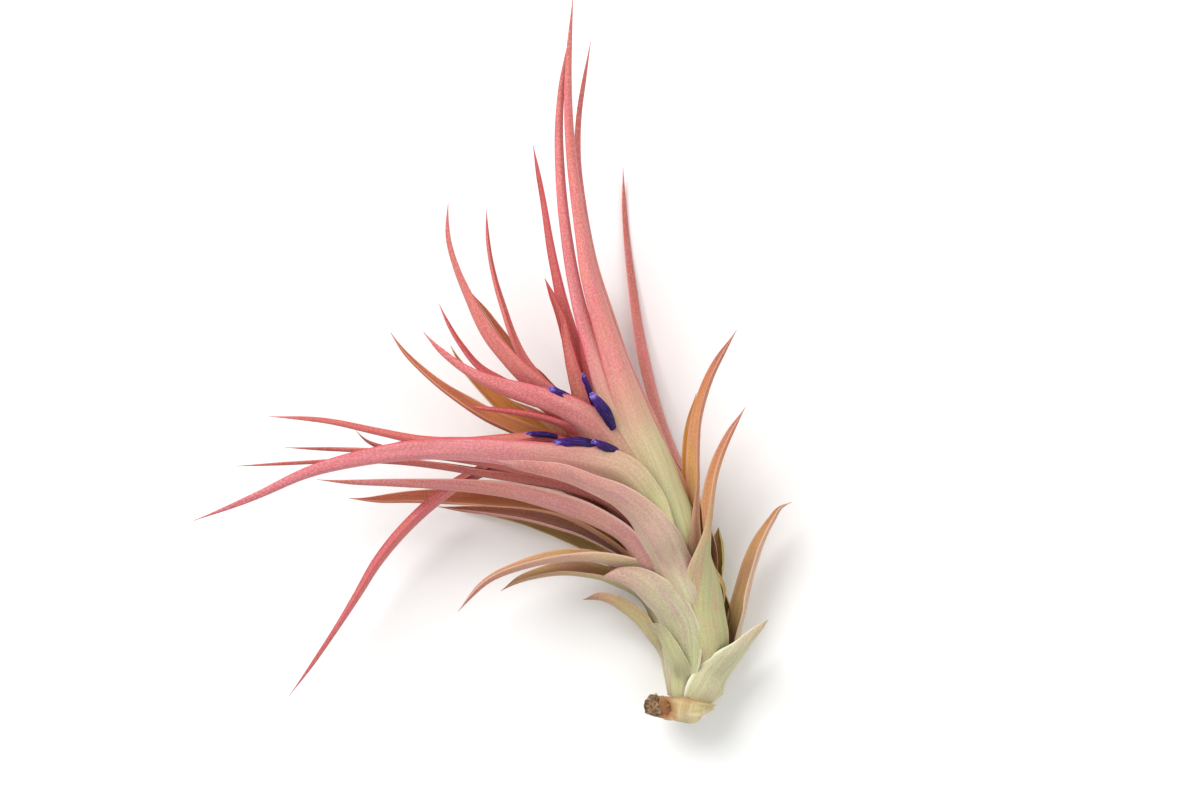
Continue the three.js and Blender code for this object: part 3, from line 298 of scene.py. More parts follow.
# Colours from foot to tip, on the outside and in the channel: share of the length and colour. edge
# is the rim's colour, flush that of the patches, bloom how thickly pale scales dust the leaf,
# flushFrom the share of the length that stays green, and stain a spot near a place.
paints = {
    "cream": {"outer": [(0, "d8c190"), (0.35, "e2d6a6"), (0.85, "d3c58c"), (1, "b08a56")],
              "inner": [(0, "d2c690"), (0.6, "d3cc98"), (1, "7d5c3a")],
              "edge": "efe6c4", "flush": "c9975f", "bloom": 0.12,
              "stain": {"place": (-14, -23, 21.5), "near": 4, "far": 8.5, "colour": "9a5a26"}},
    "sage": {"outer": [(0, "dbd6a4"), (0.3, "bfc488"), (0.75, "b0b47a"), (1, "6e6a45")],
             "inner": [(0, "c9cc98"), (0.4, "b6bc82"), (0.8, "a6aa72"), (1, "7d7a50")],
             "edge": "dfe2bc", "flush": "c4ad96", "bloom": 0.2},
    "frostedSage": {"outer": [(0, "ded6a0"), (0.35, "c7ca92"), (0.7, "c8c99c"), (0.93, "ccb688"),
                              (1, "a98f68")],
                    "inner": [(0, "c6c68c"), (0.5, "b9ba84"), (1, "b39a70")],
                    "edge": "efedd4", "flush": "cbb9a0", "bloom": 0.3},
    "sageBlush": {"outer": [(0, "d0d098"), (0.3, "bbc086"), (0.6, "c2be94"), (0.8, "c8ae90"),
                            (1, "bf8c72")],
                  "inner": [(0, "c6c88e"), (0.4, "b9bb80"), (0.75, "c4b484"), (1, "bd8c70")],
                  "edge": "e9dec2", "flush": "bb8f90", "bloom": 0.3},
    "oliveTan": {"outer": [(0, "c4c88e"), (0.35, "b4b47c"), (0.68, "bcaa70"), (0.9, "b58a5e"),
                           (1, "84553c")],
                 "inner": [(0, "c6c888"), (0.45, "c4bc72"), (0.8, "c8a660"), (1, "8c5a3c")],
                 "edge": "d8ae92", "flush": "bf8f7c", "bloom": 0.2},
    "tan": {"outer": [(0, "aeb282"), (0.22, "b8b282"), (0.45, "c4a87c"), (0.7, "cc9876"),
                      (0.88, "c67c62"), (1, "a85a44")],
            "inner": [(0, "babc7c"), (0.35, "c8ba6e"), (0.7, "d2aa64"), (1, "b9703f")],
            "edge": "e8c0a6", "flush": "c07a78", "bloom": 0.22},
    "ember": {"outer": [(0, "c6cc8e"), (0.3, "b8bd7e"), (0.48, "bcb984"), (0.6, "c9a066"),
                        (0.8, "cf8a52"), (0.93, "c2603f"), (1, "a53a2e")],
              "inner": [(0, "c2c78a"), (0.46, "ccba74"), (0.6, "dca85a"), (0.85, "d0824a"),
                        (1, "a03a2a")],
              "edge": "dfb096", "flush": "c68d74", "bloom": 0.2},
    "flame": {"outer": [(0, "b9bd8c"), (0.25, "bfa985"), (0.42, "c9a07c"), (0.6, "cf9460"),
                        (0.85, "c9703f"), (1, "a8402f")],
              "inner": [(0, "bcb67c"), (0.35, "d6b464"), (0.6, "dea852"), (0.85, "d07c44"),
                        (1, "a03c2c")],
              "edge": "dba088", "flush": "c47a68", "bloom": 0.22},
    "amber": {"outer": [(0, "c4cc98"), (0.25, "cfc69c"), (0.55, "d8b894"), (0.88, "cf9a70"),
                        (1, "98563a")],
              "inner": [(0, "d0d498"), (0.3, "e2cc80"), (0.7, "eabb74"), (1, "b06a40")],
              "edge": "e6c8ac", "flush": "cf9c84", "bloom": 0.24},
    "paleRose": {"outer": [(0, "c6c894"), (0.22, "cbc498"), (0.4, "d0b296"), (0.58, "d69c8a"),
                           (0.82, "da8072"), (1, "c65c50")],
                 "inner": [(0, "b9ad7c"), (0.4, "c08a68"), (1, "c2674f")],
                 "edge": "ecc8ac", "flush": "bc7f84", "bloom": 0.28},
    "mauve": {"outer": [(0, "b0a47c"), (0.12, "bc9478"), (0.35, "cf8c80"), (0.65, "d4786e"),
                        (1, "b84e40")],
              "inner": [(0, "a89268"), (0.4, "b8705a"), (1, "b54e3a")],
              "edge": "ecc2b2", "flush": "c4747c", "bloom": 0.26},
    "mauveBrown": {"outer": [(0, "ada276"), (0.25, "b88e74"), (0.6, "c98676"), (1, "b5624c")],
                   "inner": [(0, "b09c62"), (0.5, "c08658"), (1, "b56644")],
                   "edge": "e0b6a2", "flush": "a8687a", "bloom": 0.22},
    "rust": {"outer": [(0, "b0a068"), (0.25, "c08c56"), (0.6, "c87448"), (1, "b54a38")],
             "inner": [(0, "b8a45a"), (0.25, "ca984c"), (0.6, "cf8244"), (1, "b9523c")],
             "edge": "e0ac84", "flush": "b55a44", "bloom": 0.12},
    "olive": {"outer": [(0, "b8bd80"), (0.4, "aca65c"), (0.75, "b5924e"), (1, "8a5a3a")],
              "inner": [(0, "b5b470"), (0.5, "b3a250"), (1, "96683f")],
              "edge": "cbb07c", "flush": "b98a5c", "bloom": 0.14},
    "slimRed": {"outer": [(0, "b0a078"), (0.15, "b98d78"), (0.32, "cd8478"), (0.6, "d56f66"),
                          (1, "bd4e42")],
                "inner": [(0, "b09a6c"), (0.4, "c47460"), (1, "b84e40")],
                "edge": "e09a8c", "flush": "cf6a70", "bloom": 0.22},
    "sun": {"outer": [(0, "c9c676"), (0.35, "d4b652"), (0.75, "d8a648"), (1, "b0703a")],
            "inner": [(0, "cbbc58"), (0.4, "e0b440"), (0.8, "d89638"), (1, "a5622f")],
            "edge": "ead08c", "flush": "cf9a5c", "bloom": 0.08},
    "moss": {"outer": [(0, "c4c47c"), (0.6, "bab45c"), (1, "aa9c4c")],
             "inner": [(0, "c6c270"), (0.6, "c2b654"), (1, "ac984a")],
             "edge": "dccc80", "flush": "bca468", "bloom": 0.08},
    "gold": {"outer": [(0, "c6c07a"), (0.4, "d3ac58"), (0.75, "d39a4c"), (1, "a5623a")],
             "inner": [(0, "c4b45c"), (0.4, "d8a840"), (0.8, "cf8638"), (1, "98542f")],
             "edge": "e6c282", "flush": "cf8a5c", "bloom": 0.1},
    "goldRed": {"outer": [(0, "bfb068"), (0.4, "c79050"), (0.8, "bd6c42"), (1, "924830")],
                "inner": [(0, "b9a352"), (0.5, "bd863e"), (1, "944e2f")],
                "edge": "d49c6c", "flush": "bd5f4a", "bloom": 0.1},
    "rose": {"outer": [(0, "cdd092"), (0.18, "c8ca86"), (0.25, "cfb88a"), (0.33, "d89c8a"),
                       (0.47, "de7c82"), (0.75, "dd6a76"), (1, "c84f5a")],
             "inner": [(0, "c6c683"), (0.25, "cf9a7c"), (0.42, "dc606c"), (1, "c84a54")],
             "edge": "d2384f", "flush": "d25c6c", "flushFrom": 0.24, "bloom": 0.3},
    "crownRose": {"outer": [(0, "c6c488"), (0.2, "c8ae80"), (0.36, "d48c7c"), (0.58, "de6f74"),
                            (0.8, "dc6866"), (1, "c8504c")],
                  "inner": [(0, "c4b478"), (0.35, "d0705f"), (1, "c24e46")],
                  "edge": "d64858", "flush": "d65c6a", "flushFrom": 0.2, "bloom": 0.26},
    # painted shade: a red darkened for the shade that long_leaf_2 and long_leaf_3 lie in under the leaves
    # above them
    "shadedRed": {"outer": [(0, "a08a60"), (0.12, "a5664e"), (0.35, "b04c40"), (0.65, "c25448"),
                          (1, "c25a4e")],
                "inner": [(0, "9c7a50"), (0.2, "ad5440"), (0.6, "bb4a3c"), (1, "b5463c")],
                "edge": "dc8a7e", "flush": "a83a44", "bloom": 0.14},
    "mauveRed": {"outer": [(0, "a8906a"), (0.25, "ba7464"), (0.6, "cd6e68"), (1, "c0524a")],
                 "inner": [(0, "a3885c"), (0.4, "bd6450"), (1, "b5463c")],
                 "edge": "e0988c", "flush": "c05068", "bloom": 0.2},
    "coral": {"outer": [(0, "c6b67c"), (0.14, "cf9c78"), (0.36, "dc7c70"), (0.7, "da6c62"),
                        (1, "c2524a")],
              "inner": [(0, "c2a868"), (0.3, "d08060"), (0.7, "cf6450"), (1, "bd4e42")],
              "edge": "d9555a", "flush": "d45a68", "bloom": 0.24},
    "tallCoral": {"outer": [(0, "cdd08e"), (0.15, "d0d094"), (0.25, "d4c894"), (0.32, "dca688"),
                            (0.41, "df8174"), (0.7, "dc6e66"), (0.9, "d05f56"), (1, "b9483c")],
                  "inner": [(0, "c9c67c"), (0.2, "cdbb74"), (0.33, "d8946f"), (0.5, "d66e5c"),
                            (1, "bd4a3c")],
                  "edge": "e06468", "flush": "e0627a", "flushFrom": 0.28, "bloom": 0.28},
    "tallRose": {"outer": [(0, "c8c884"), (0.14, "cfc98e"), (0.25, "d2b48a"), (0.36, "dc8c80"),
                           (0.52, "e0747c"), (0.75, "dc6c6c"), (1, "c6544c")],
                 "inner": [(0, "bfba70"), (0.15, "c6ac68"), (0.3, "d07e62"), (1, "bf4e42")],
                 "edge": "da4c62", "flush": "e05a74", "flushFrom": 0.26, "bloom": 0.28},
    "brightRose": {"outer": [(0, "c9b078"), (0.14, "d28a70"), (0.4, "d95f62"), (1, "c84a4c")],
                   "inner": [(0, "c29e66"), (0.3, "d0605a"), (1, "c04640")],
                   "edge": "cf3a4a", "flush": "d84a60", "bloom": 0.2},
    "droop": {"outer": [(0, "a8966a"), (0.2, "ba8660"), (0.36, "d08070"), (0.6, "d76a64"),
                        (0.93, "c9554e"), (1, "ad4e42")],
              "inner": [(0, "ad9660"), (0.3, "c48c55"), (0.4, "d07860"), (0.7, "cf5e56"),
                        (1, "b84a44")],
              "edge": "cc4658", "flush": "d2546a", "bloom": 0.24},
    "brown": {"outer": [(0, "b8a56c"), (0.5, "ad7a4a"), (1, "804a32")],
              "inner": [(0, "ad9858"), (0.5, "a5703f"), (1, "804a32")],
              "edge": "c08c60", "flush": "96583c", "bloom": 0.08},
    "paper": {"outer": [(0, "6e4426"), (0.5, "a8682e"), (1, "c98f4c")],
              "inner": [(0, "5e3c22"), (1, "a0703c")],
              "edge": "b98a4e", "flush": "4e2f1a", "bloom": 0.06},
}


def linear(hexColour):  # a colour written as on a screen, as the linear one that shaders want
    shares = [int(hexColour[i:i + 2], 16) / 255 for i in (0, 2, 4)]
    return tuple(s / 12.92 if s <= 0.04045 else ((s + 0.055) / 1.055) ** 2.4 for s in shares) + (1.0,)


def smoothStep(low, high, value):  # 0 below low, 1 above high, 3s^2 - 2s^3 between
    share = np.clip((value - low) / (high - low), 0, 1)
    return share * share * (3 - 2 * share)


def mix(a, b, share):
    return a + (b - a) * share


def unit(vectors):
    return vectors / np.linalg.norm(vectors, axis=-1, keepdims=True)


# Cubic through rows whose first three numbers are a place: knots at the summed leg lengths,
# slope at a knot = three-point difference, at an end = 1.5 rise - 0.5 next slope
def curveThrough(rows):
    rows = np.asarray(rows, dtype=float)
    legs = np.linalg.norm(np.diff(rows[:, :3], axis=0), axis=1)
    knots = np.concatenate([[0], np.cumsum(legs)])
    rise = np.diff(rows, axis=0) / legs[:, None]
    slopes = np.empty_like(rows)
    weights = (legs[:-1] + legs[1:])[:, None]
    slopes[1:-1] = (legs[1:, None] * rise[:-1] + legs[:-1, None] * rise[1:]) / weights
    slopes[0] = 1.5 * rise[0] - 0.5 * slopes[1]
    slopes[-1] = 1.5 * rise[-1] - 0.5 * slopes[-2]

    def at(distance):
        distance = np.atleast_1d(np.asarray(distance, dtype=float))
        i = np.clip(np.searchsorted(knots, distance, side="right") - 1, 0, len(legs) - 1)
        step = legs[i][:, None]
        t = (distance - knots[i])[:, None] / step
        here, following = slopes[i] * step, slopes[i + 1] * step
        rise2 = rows[i + 1] - rows[i]
        bent = 3 * rise2 - 2 * here - following
        return rows[i] + t * (here + t * (bent + t * (here + following - 2 * rise2)))

    def heading(distance):  # over the millimetre around each place
        return unit(at(np.asarray(distance) + 0.5)[:, :3] - at(np.asarray(distance) - 0.5)[:, :3])

    return at, heading, knots


stemAt, stemHeading, stemKnots = curveThrough(stemForm["line"])


# The stem tapers evenly, times sqrt(1 - (1 - s)^2) at its foot, where s grows to 1 over footRound
def stemRadius(distance):
    share = np.minimum(1, (distance + 1) / (stemForm["footRound"] + 1))
    taper = mix(stemForm["lowRadius"], stemForm["topRadius"], distance / stemKnots[-1])
    return taper * np.sqrt(1 - (1 - share) ** 2)


# facing = sin(turn) across - cos(turn) up, with across = heading x Z and up = across x heading
def facing(heading, turn):
    across = unit(np.cross(heading, [0, 0, 1]))
    up = np.cross(across, heading)
    turn = np.radians(turn)[..., None]
    return across * np.sin(turn) - up * np.cos(turn)


# A smooth random wander between about -1 and 1: four sines of falling size with random phases
def wander(share, random, waves=3):
    total = 0
    for k in range(1, 5):
        total = total + np.sin(2 * math.pi * (k * waves / 3 * share + random.random())) / k
    return total / 2


# One closed mesh from shells of points (stations, ring, 3): quads round each ring, and across each
# end a row of quads between its inner and outer half, with a triangle at both rims
def buildPiece(name, shells, material):
    points, faces, layers = [], [], {"blade": [], "grain": [], "inside": []}
    offset = 0
    for shell in shells:
        grid = shell["points"]
        stations, ring = grid.shape[:2]
        index = offset + np.arange(stations * ring).reshape(stations, ring)
        here, beyond = index, np.roll(index, -1, axis=1)
        quads = np.stack([here[:-1], here[1:], beyond[1:], beyond[:-1]], axis=-1).reshape(-1, 4)
        faces.extend(quads.tolist())
        half = ring // 2
        for row, first in ((index[0], True), (index[-1], False)):
            front, back = row[:half + 1], np.concatenate([row[:1], row[:half - 1:-1]])
            strip = np.stack([front[:-1], front[1:], back[1:], back[:-1]], axis=-1)
            strip = strip if first else strip[:, ::-1]
            faces.extend([list(dict.fromkeys(quad)) for quad in strip.tolist()])
        points.append(grid.reshape(-1, 3))
        for key, values in layers.items():
            values.append(shell[key].reshape(stations * ring, -1))
        offset += stations * ring
    mesh = bpy.data.meshes.new(name)
    mesh.from_pydata((np.concatenate(points) * mm).tolist(), [], faces)
    loopVertex = np.empty(len(mesh.loops), dtype=np.int32)
    mesh.loops.foreach_get("vertex_index", loopVertex)
    for key in ("blade", "grain"):
        uvLayer = mesh.uv_layers.new(name=key)
        uvLayer.data.foreach_set("uv", np.concatenate(layers[key])[loopVertex].astype(np.float32).ravel())
    inside = mesh.attributes.new("inside", "FLOAT", "POINT")
    inside.data.foreach_set("value", np.concatenate(layers["inside"]).astype(np.float32).ravel())
    mesh.polygons.foreach_set("use_smooth", np.full(len(mesh.polygons), True))
    mesh.materials.append(material)
    piece = addObject(name, mesh)
    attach(piece, "root")
    return piece


# The ring order of a thin sheet: over its inner face from edge to edge, then back on its outer
# one. thick = thickness sqrt(1 - across^8), so that both faces meet in a round rim.
def sheetRing(cells):
    front = np.sin(np.linspace(-math.pi / 2, math.pi / 2, cells + 1))
    across = np.concatenate([front, front[-2:0:-1]])
    outer = np.concatenate([np.zeros(cells + 1), np.ones(cells - 1)])
    inside = np.where(outer > 0, 0.0, 1.0)
    inside[0] = inside[cells] = 0.5
    return across, outer, inside


# Rings of points: centre + sin(angle) reach side - cos(angle) reach opening
def aroundCentre(centre, side, opening, angle, reach):
    points = centre[:, None] + side[:, None] * (np.sin(angle) * reach)[..., None]
    return points - opening[:, None] * (np.cos(angle) * reach)[..., None]


# A shell's points with its two maps: blade in shares across and along, grain in millimetres
def sheetParts(points, across, share, grainAcross, distance, inside):
    ones = np.ones(points.shape[:2])
    return {
        "points": points,
        "blade": np.stack([(across * 0.5 + 0.5) * ones, share[:, None] * ones], axis=-1),
        "grain": np.stack([grainAcross * ones, distance[:, None] * ones], axis=-1),
        "inside": inside * ones,
    }


# A leaf's surface: angle runs over the arc of each section. reach is the section's radius, plus
# the thickness on the outer face, plus a sine across the blade for its folds, plus a lip of
# lift across^8, less a ripple of wander across^4.
def leafShell(leaf, random):
    form = leafForm
    hug = leaf.get("hug", form["sheathLength"])
    foot = stemRadius(leaf["at"]) + form["sheathSeat"]
    broad = leaf.get("sheath", form["sheathWidth"])
    lean = leaf.get("lean", form["sheathLean"])
    shares = np.array([0, 0.5, 1])
    along = leaf["at"] + shares * hug
    spokes = facing(stemHeading(along), np.full(3, float(leaf["turn"])))
    places = stemAt(along)[:, :3] - spokes * (foot + lean * shares * hug)[:, None]
    widths = broad * mix(form["footShare"], 1, shares)
    at, headingAt, knots = curveThrough(np.vstack([np.column_stack([places, widths]), leaf["rows"]]))
    length, sheathEnd = knots[-1], knots[2]
    distance = length * np.linspace(0, 1, form["stations"])
    share = np.minimum(1, distance / sheathEnd)
    freed = smoothStep(form["freeFrom"] * sheathEnd, form["freeTo"] * sheathEnd, distance)
    out = np.clip((distance - sheathEnd) / (length - sheathEnd), 0, 1)
    rows = at(distance)
    closing = smoothStep(form["closeFrom"], 1.0, distance / length)
    taper = np.sqrt(1 - closing * form["closeDepth"])
    loose = freed * smoothStep(0, form["looseFrom"], out)
    width = np.maximum(form["tipThickness"], rows[:, 3])
    width = width * (1 + form["widthWander"] * loose * wander(out, random)) * taper
    heading = headingAt(distance)
    axis = unit(mix(stemHeading(leaf["at"] + share * hug), heading, freed[:, None]))
    twist = leaf.get("twist", 0)
    turned = smoothStep(twist, twist + form["twistLength"], out)
    turn = mix(leaf["turn"], leaf.get("face", leaf["turn"]), turned)
    turn = turn + form["turnWander"] * loose * wander(out, random)
    opening = facing(axis, turn)
    side = np.cross(axis, opening)
    curl = np.radians(mix(leaf.get("curl", form["bladeCurl"]), form["tipCurl"], out))
    bend = mix(1 / (foot + lean * share * hug), 2 * curl / width, freed)
    half = np.minimum(math.radians(form["widestArc"]), width * bend / 2)
    thickest = mix(leaf.get("thick", form["sheathThickness"]), form["midribThickness"], freed)
    middle = mix(thickest, form["tipThickness"], out) * taper
    edge = form["edgeThickness"] * taper
    centre = rows[:, :3] + opening / bend[:, None]
    centre = centre + form["sway"] * (loose * wander(out, random))[:, None] * side
    across, outer, inside = sheetRing(form["cells"])
    thick = mix(middle[:, None], edge[:, None], across ** 2) * np.sqrt(1 - across ** 8)
    ripple = form["rimRipple"] * loose[:, None] * across ** 4
    rightWave = wander(out, random, form["ripples"])[:, None]
    leftWave = wander(out, random, form["ripples"])[:, None]
    ripple = ripple * np.where(across > 0, rightWave, leftWave)
    ripple = ripple * np.minimum(1, width[:, None] / form["rippleWidth"])
    foldPhase = form["foldDrift"] * wander(out, random) + random.random()
    fold = form["foldDepth"] * width / form["foldWidth"] * np.sqrt(taper)
    fold = fold[:, None] * np.sin(math.pi * (form["folds"] * across + foldPhase[:, None]))
    lift = form["rimLift"] * np.minimum(1, width / form["liftWidth"])[:, None] * across ** 8
    reach = 1 / bend[:, None] + outer * thick + fold + lift - ripple
    angle = across * half[:, None]
    points = aroundCentre(centre, side, opening, angle, reach)
    points[..., 2] = np.maximum(points[..., 2], form["floorGap"])
    grainAcross = across * width[:, None] / 2
    return sheetParts(points, across, distance / length, grainAcross, distance, inside)


# A rod: line + scale (radius + relief) (cos(angle) side + sin(angle) opening). shares are the
# places of its stations along its line; where they turn back at the end, they line a pit.
def rodShell(rows, shares, sides, scales, relief=None):
    at, headingAt, knots = curveThrough(rows)
    distance = knots[-1] * shares
    line = at(distance)
    heading = headingAt(distance)
    opening = facing(heading, np.zeros(len(shares)))
    side = np.cross(heading, opening)
    angle = 2 * math.pi * np.arange(sides) / sides
    radius = line[:, 3:4] * scales[:, None] * np.ones(sides)
    if relief is not None:
        radius = radius + scales[:, None] * relief(shares[:, None], angle)
    points = line[:, None, :3] + side[:, None] * (np.cos(angle) * radius)[..., None]
    points = points + opening[:, None] * (np.sin(angle) * radius)[..., None]
    ones = np.ones_like(radius)
    turnShare = np.abs(np.linspace(-1, 1, sides + 1)[:-1])
    halfTurn = 6  # millimetres of half a turn in the grain map
    return {
        "points": points,
        "blade": np.stack([turnShare * ones, (distance / knots[-1])[:, None] * ones], axis=-1),
        "grain": np.stack([turnShare * halfTurn * ones, distance[:, None] * ones], axis=-1),
        "inside": np.zeros_like(radius),
    }


class Wire:  # a socket in a material, so that sums of sockets are written as Python
    def __init__(self, tree, socket=None):
        self.tree = tree
        self.socket = socket

    def add(self, kind, settings=None, values=None, output=0):
        node = self.tree.nodes.new(kind)
        for name, value in (settings or {}).items():
            if name == "stops":
                ramp = node.color_ramp
                while len(ramp.elements) < len(value):
                    ramp.elements.new(0.5)
                for element, (position, colour) in zip(ramp.elements, value):
                    element.position = position
                    element.color = colour
            else:
                setattr(node, name, value)
        for name, value in (values or {}).items():
            if isinstance(value, Wire):
                self.tree.links.new(value.socket, node.inputs[name])
            else:
                node.inputs[name].default_value = value
        return Wire(self.tree, node.outputs[output])

    def sum(self, operation, first, second):
        return self.add("ShaderNodeMath", {"operation": operation}, {0: first, 1: second})

    def __add__(self, other):
        return self.sum("ADD", self, other)

    __radd__ = __add__

    def __sub__(self, other):
        return self.sum("SUBTRACT", self, other)

    def __rsub__(self, other):
        return self.sum("SUBTRACT", other, self)

    def __mul__(self, other):
        return self.sum("MULTIPLY", self, other)

    __rmul__ = __mul__

    def between(self, low, high):  # 0 at low, 1 at high, smooth
        return self.add("ShaderNodeMapRange", {"interpolation_type": "SMOOTHSTEP"},
                        {"Value": self, "From Min": low, "From Max": high})

    def ramp(self, stops):  # pairs of a place and a colour
        colours = [(position, linear(colour)) for position, colour in stops]
        return self.add("ShaderNodeValToRGB", {"stops": colours}, {"Fac": self})

    def blend(self, first, second, kind="MIX"):  # first where this is 0, second where it is 1
        return self.add("ShaderNodeMix", {"data_type": "RGBA", "blend_type": kind},
                        {0: self, 6: first, 7: second}, output=2)

    def stretch(self, factors):
        return self.add("ShaderNodeVectorMath", {"operation": "MULTIPLY"}, {0: self, 1: factors})

    def noise(self, scale, detail, roughness=0.5, seed=None):  # seeded noise has a fourth dimension
        values = {"Vector": self, "Scale": scale, "Detail": detail, "Roughness": roughness}
        if seed is None:
            return self.add("ShaderNodeTexNoise", {}, values)
        return self.add("ShaderNodeTexNoise", {"noise_dimensions": "4D"}, {**values, "W": seed})

    def bump(self, strength, depth):
        return self.add("ShaderNodeBump", {}, {"Height": self, "Strength": strength, "Distance": depth})


def newMaterial(name, constants):
    material = bpy.data.materials.new(name)
    material.use_nodes = True
    tree = material.node_tree
    shader = tree.nodes["Principled BSDF"]
    for socket, value in constants.items():
        shader.inputs[socket].default_value = value
    return material, Wire(tree), shader


def connect(start, shader, links):
    for socket, wire in links.items():
        start.tree.links.new(wire.socket, shader.inputs[socket])


# What a blade's patterns follow: its place, its map in millimetres, how near its rims a point is
# (0 on the midrib, 1 at a rim) and its share of the length
def surfaceWires(start):
    place = start.add("ShaderNodeTexCoord", output=3)
    blade = start.add("ShaderNodeUVMap", {"uv_map": "blade"})
    grain = start.add("ShaderNodeUVMap", {"uv_map": "grain"})
    acrossShare = start.add("ShaderNodeSeparateXYZ", {}, {0: blade})
    alongShare = Wire(start.tree, acrossShare.socket.node.outputs[1])
    rimShare = start.sum("ABSOLUTE", acrossShare * 2 - 1, 0.0)
    return place, grain, rimShare, alongShare


leafFinish = {
    "blotchSize": 17,  # sizes in millimetres, a pair of them across and along the leaf
    "patchSize": (4.5, 20),  # of the flushed patches
    "streakSize": (1.3, 34),
    "veinSize": (0.42, 11),
    "dotSize": (0.5, 0.95),  # of the clusters of absorbing scales
    "scaleSize": 0.34,
    "patchEdge": (0.4, 0.78),  # values of its noise between which each pattern comes in
    "streakEdge": (0.36, 0.66),
    "veinEdge": (0.35, 0.7),
    "dotEdge": (0.44, 0.62),
    "scaleEdge": (0.42, 0.62),
    "innerEdge": (0.3, 0.7),  # of the inside map, which is 1 on the inner face and 0.5 on a rim
    "rimEdge": (0.84, 0.98),  # shares of the way from the midrib to a rim
    "blotchDrift": 0.12,  # how far blotches and streaks shift the colours along the leaf
    "streakDrift": 0.1,
    "flushStrength": 0.85,
    "flushFrom": -0.3,  # most leaves are flushed from the foot on
    "ripening": 0.2,  # share of the length over which the flush and the coloured rim come in
    # how far the painted shade darkens the creases and the veins
    "streakShade": 0.34,
    "veinPaintedShade": 0.2,
    "paintedShadeColour": (0.62, 0.5, 0.44, 1),
    "dust": {"all": 0.18, "dots": 0.75, "scales": 0.3, "strength": 0.72, "least": 0.5, "blotches": 0.9},
    "dustColour": "f6e9df",
    "rim": {"least": 0.35, "blotches": 0.7},
    "stain": {"least": 0.5, "streaks": 0.8, "wander": 12},
    "roughness": 0.5,
    "scaleRoughness": 0.22,
    "relief": {"veins": 0.5, "streaks": 0.9, "dots": 0.45, "scales": 0.3},
    "bumpStrength": 0.6,
    "bumpDepth": 0.2,
}


# Leaf tissue: colours that follow the length, flushed in patches, darkened with painted shade along the
# lengthwise creases and veins, and dusted with the clusters of pale scales through which the plant drinks
def leafMaterial(name, paint, seed):
    finish = leafFinish
    material, start, shader = newMaterial(name, {
        "Specular IOR Level": 0.35, "Sheen Weight": 0.1, "Sheen Roughness": 0.5,
        "Subsurface Weight": 0.06, "Subsurface Scale": 0.002,
    })
    place, grain, rimShare, alongShare = surfaceWires(start)
    inside = start.add("ShaderNodeAttribute", {"attribute_name": "inside"}, output=2)

    def along(size, detail, offset):  # noise drawn out along the leaf
        wide, long = finish[size]
        return grain.stretch((1 / wide, 1 / long, 1)).noise(1.0, detail, 0.55, seed + offset)

    blotch = place.noise(1 / (finish["blotchSize"] * mm), 3.0, 0.55, seed)
    patches = along("patchSize", 3.0, 0.3)
    streaks = along("streakSize", 2.0, 0.6)
    veins = along("veinSize", 2.0, 0.0)
    dots = along("dotSize", 2.0, 0.9)
    scales = place.noise(1 / (finish["scaleSize"] * mm), 2.0, 0.7)
    drift = alongShare + (blotch - 0.5) * finish["blotchDrift"] + (streaks - 0.5) * finish["streakDrift"]
    inner = inside.between(*finish["innerEdge"])
    skin = inner.blend(drift.ramp(paint["outer"]), drift.ramp(paint["inner"]))
    flushFrom = paint.get("flushFrom", finish["flushFrom"])
    ripe = alongShare.between(flushFrom, flushFrom + finish["ripening"])  # 0 where it stays green
    flushed = patches.between(*finish["patchEdge"]) * ripe
    skin = (flushed * finish["flushStrength"]).blend(skin, linear(paint["flush"]))
    # painted shade: the colour is darkened along the lengthwise streaks, as in creases, and along the
    # veins
    paintedCreaseShade = (1 - streaks.between(*finish["streakEdge"])) * finish["streakShade"]
    paintedShade = paintedCreaseShade + (1 - veins.between(*finish["veinEdge"])) * finish["veinPaintedShade"]
    skin = paintedShade.blend(skin, finish["paintedShadeColour"], "MULTIPLY")
    dust = finish["dust"]
    powder = dust["all"] + dots.between(*finish["dotEdge"]) * dust["dots"]
    powder = powder + scales.between(*finish["scaleEdge"]) * dust["scales"]
    powder = powder * (dust["least"] + blotch * dust["blotches"]) * (dust["strength"] * paint["bloom"])
    skin = powder.blend(skin, linear(finish["dustColour"]))
    rim = rimShare.between(*finish["rimEdge"]) * ripe
    rim = rim * (finish["rim"]["least"] + blotch * finish["rim"]["blotches"])
    skin = rim.blend(skin, linear(paint["edge"]))
    if "stain" in paint:
        spot, stain = paint["stain"], finish["stain"]
        middle = tuple(v * mm for v in spot["place"])
        far = start.add("ShaderNodeVectorMath", {"operation": "DISTANCE"}, {0: place, 1: middle}, output=1)
        ragged = far + (blotch - 0.5) * (stain["wander"] * mm)
        near = 1 - ragged.between(spot["near"] * mm, spot["far"] * mm)
        stained = near * (stain["least"] + streaks * stain["streaks"])
        skin = stained.blend(skin, linear(spot["colour"]))
    relief = finish["relief"]
    height = veins * relief["veins"] + streaks * relief["streaks"]
    height = height + dots * relief["dots"] + scales * relief["scales"]
    connect(start, shader, {
        "Base Color": skin, "Normal": height.bump(finish["bumpStrength"], finish["bumpDepth"] * mm),
        "Roughness": finish["roughness"] + scales * finish["scaleRoughness"]})
    return material


barkFinish = {
    "skin": [(0.28, "2f2017"), (0.42, "6e523c"), (0.54, "a08263"), (0.7, "dac8aa")],
    "coarseScale": 520.0,  # noise cells in a metre
    "fineScale": 2200.0,
    "fineShare": 0.4,  # of the fine noise in the relief
    "bumpStrength": 0.9,
    "bumpDepth": 0.5,  # millimetres
    "roughness": 0.75,
    "fineRoughness": 0.2,
}


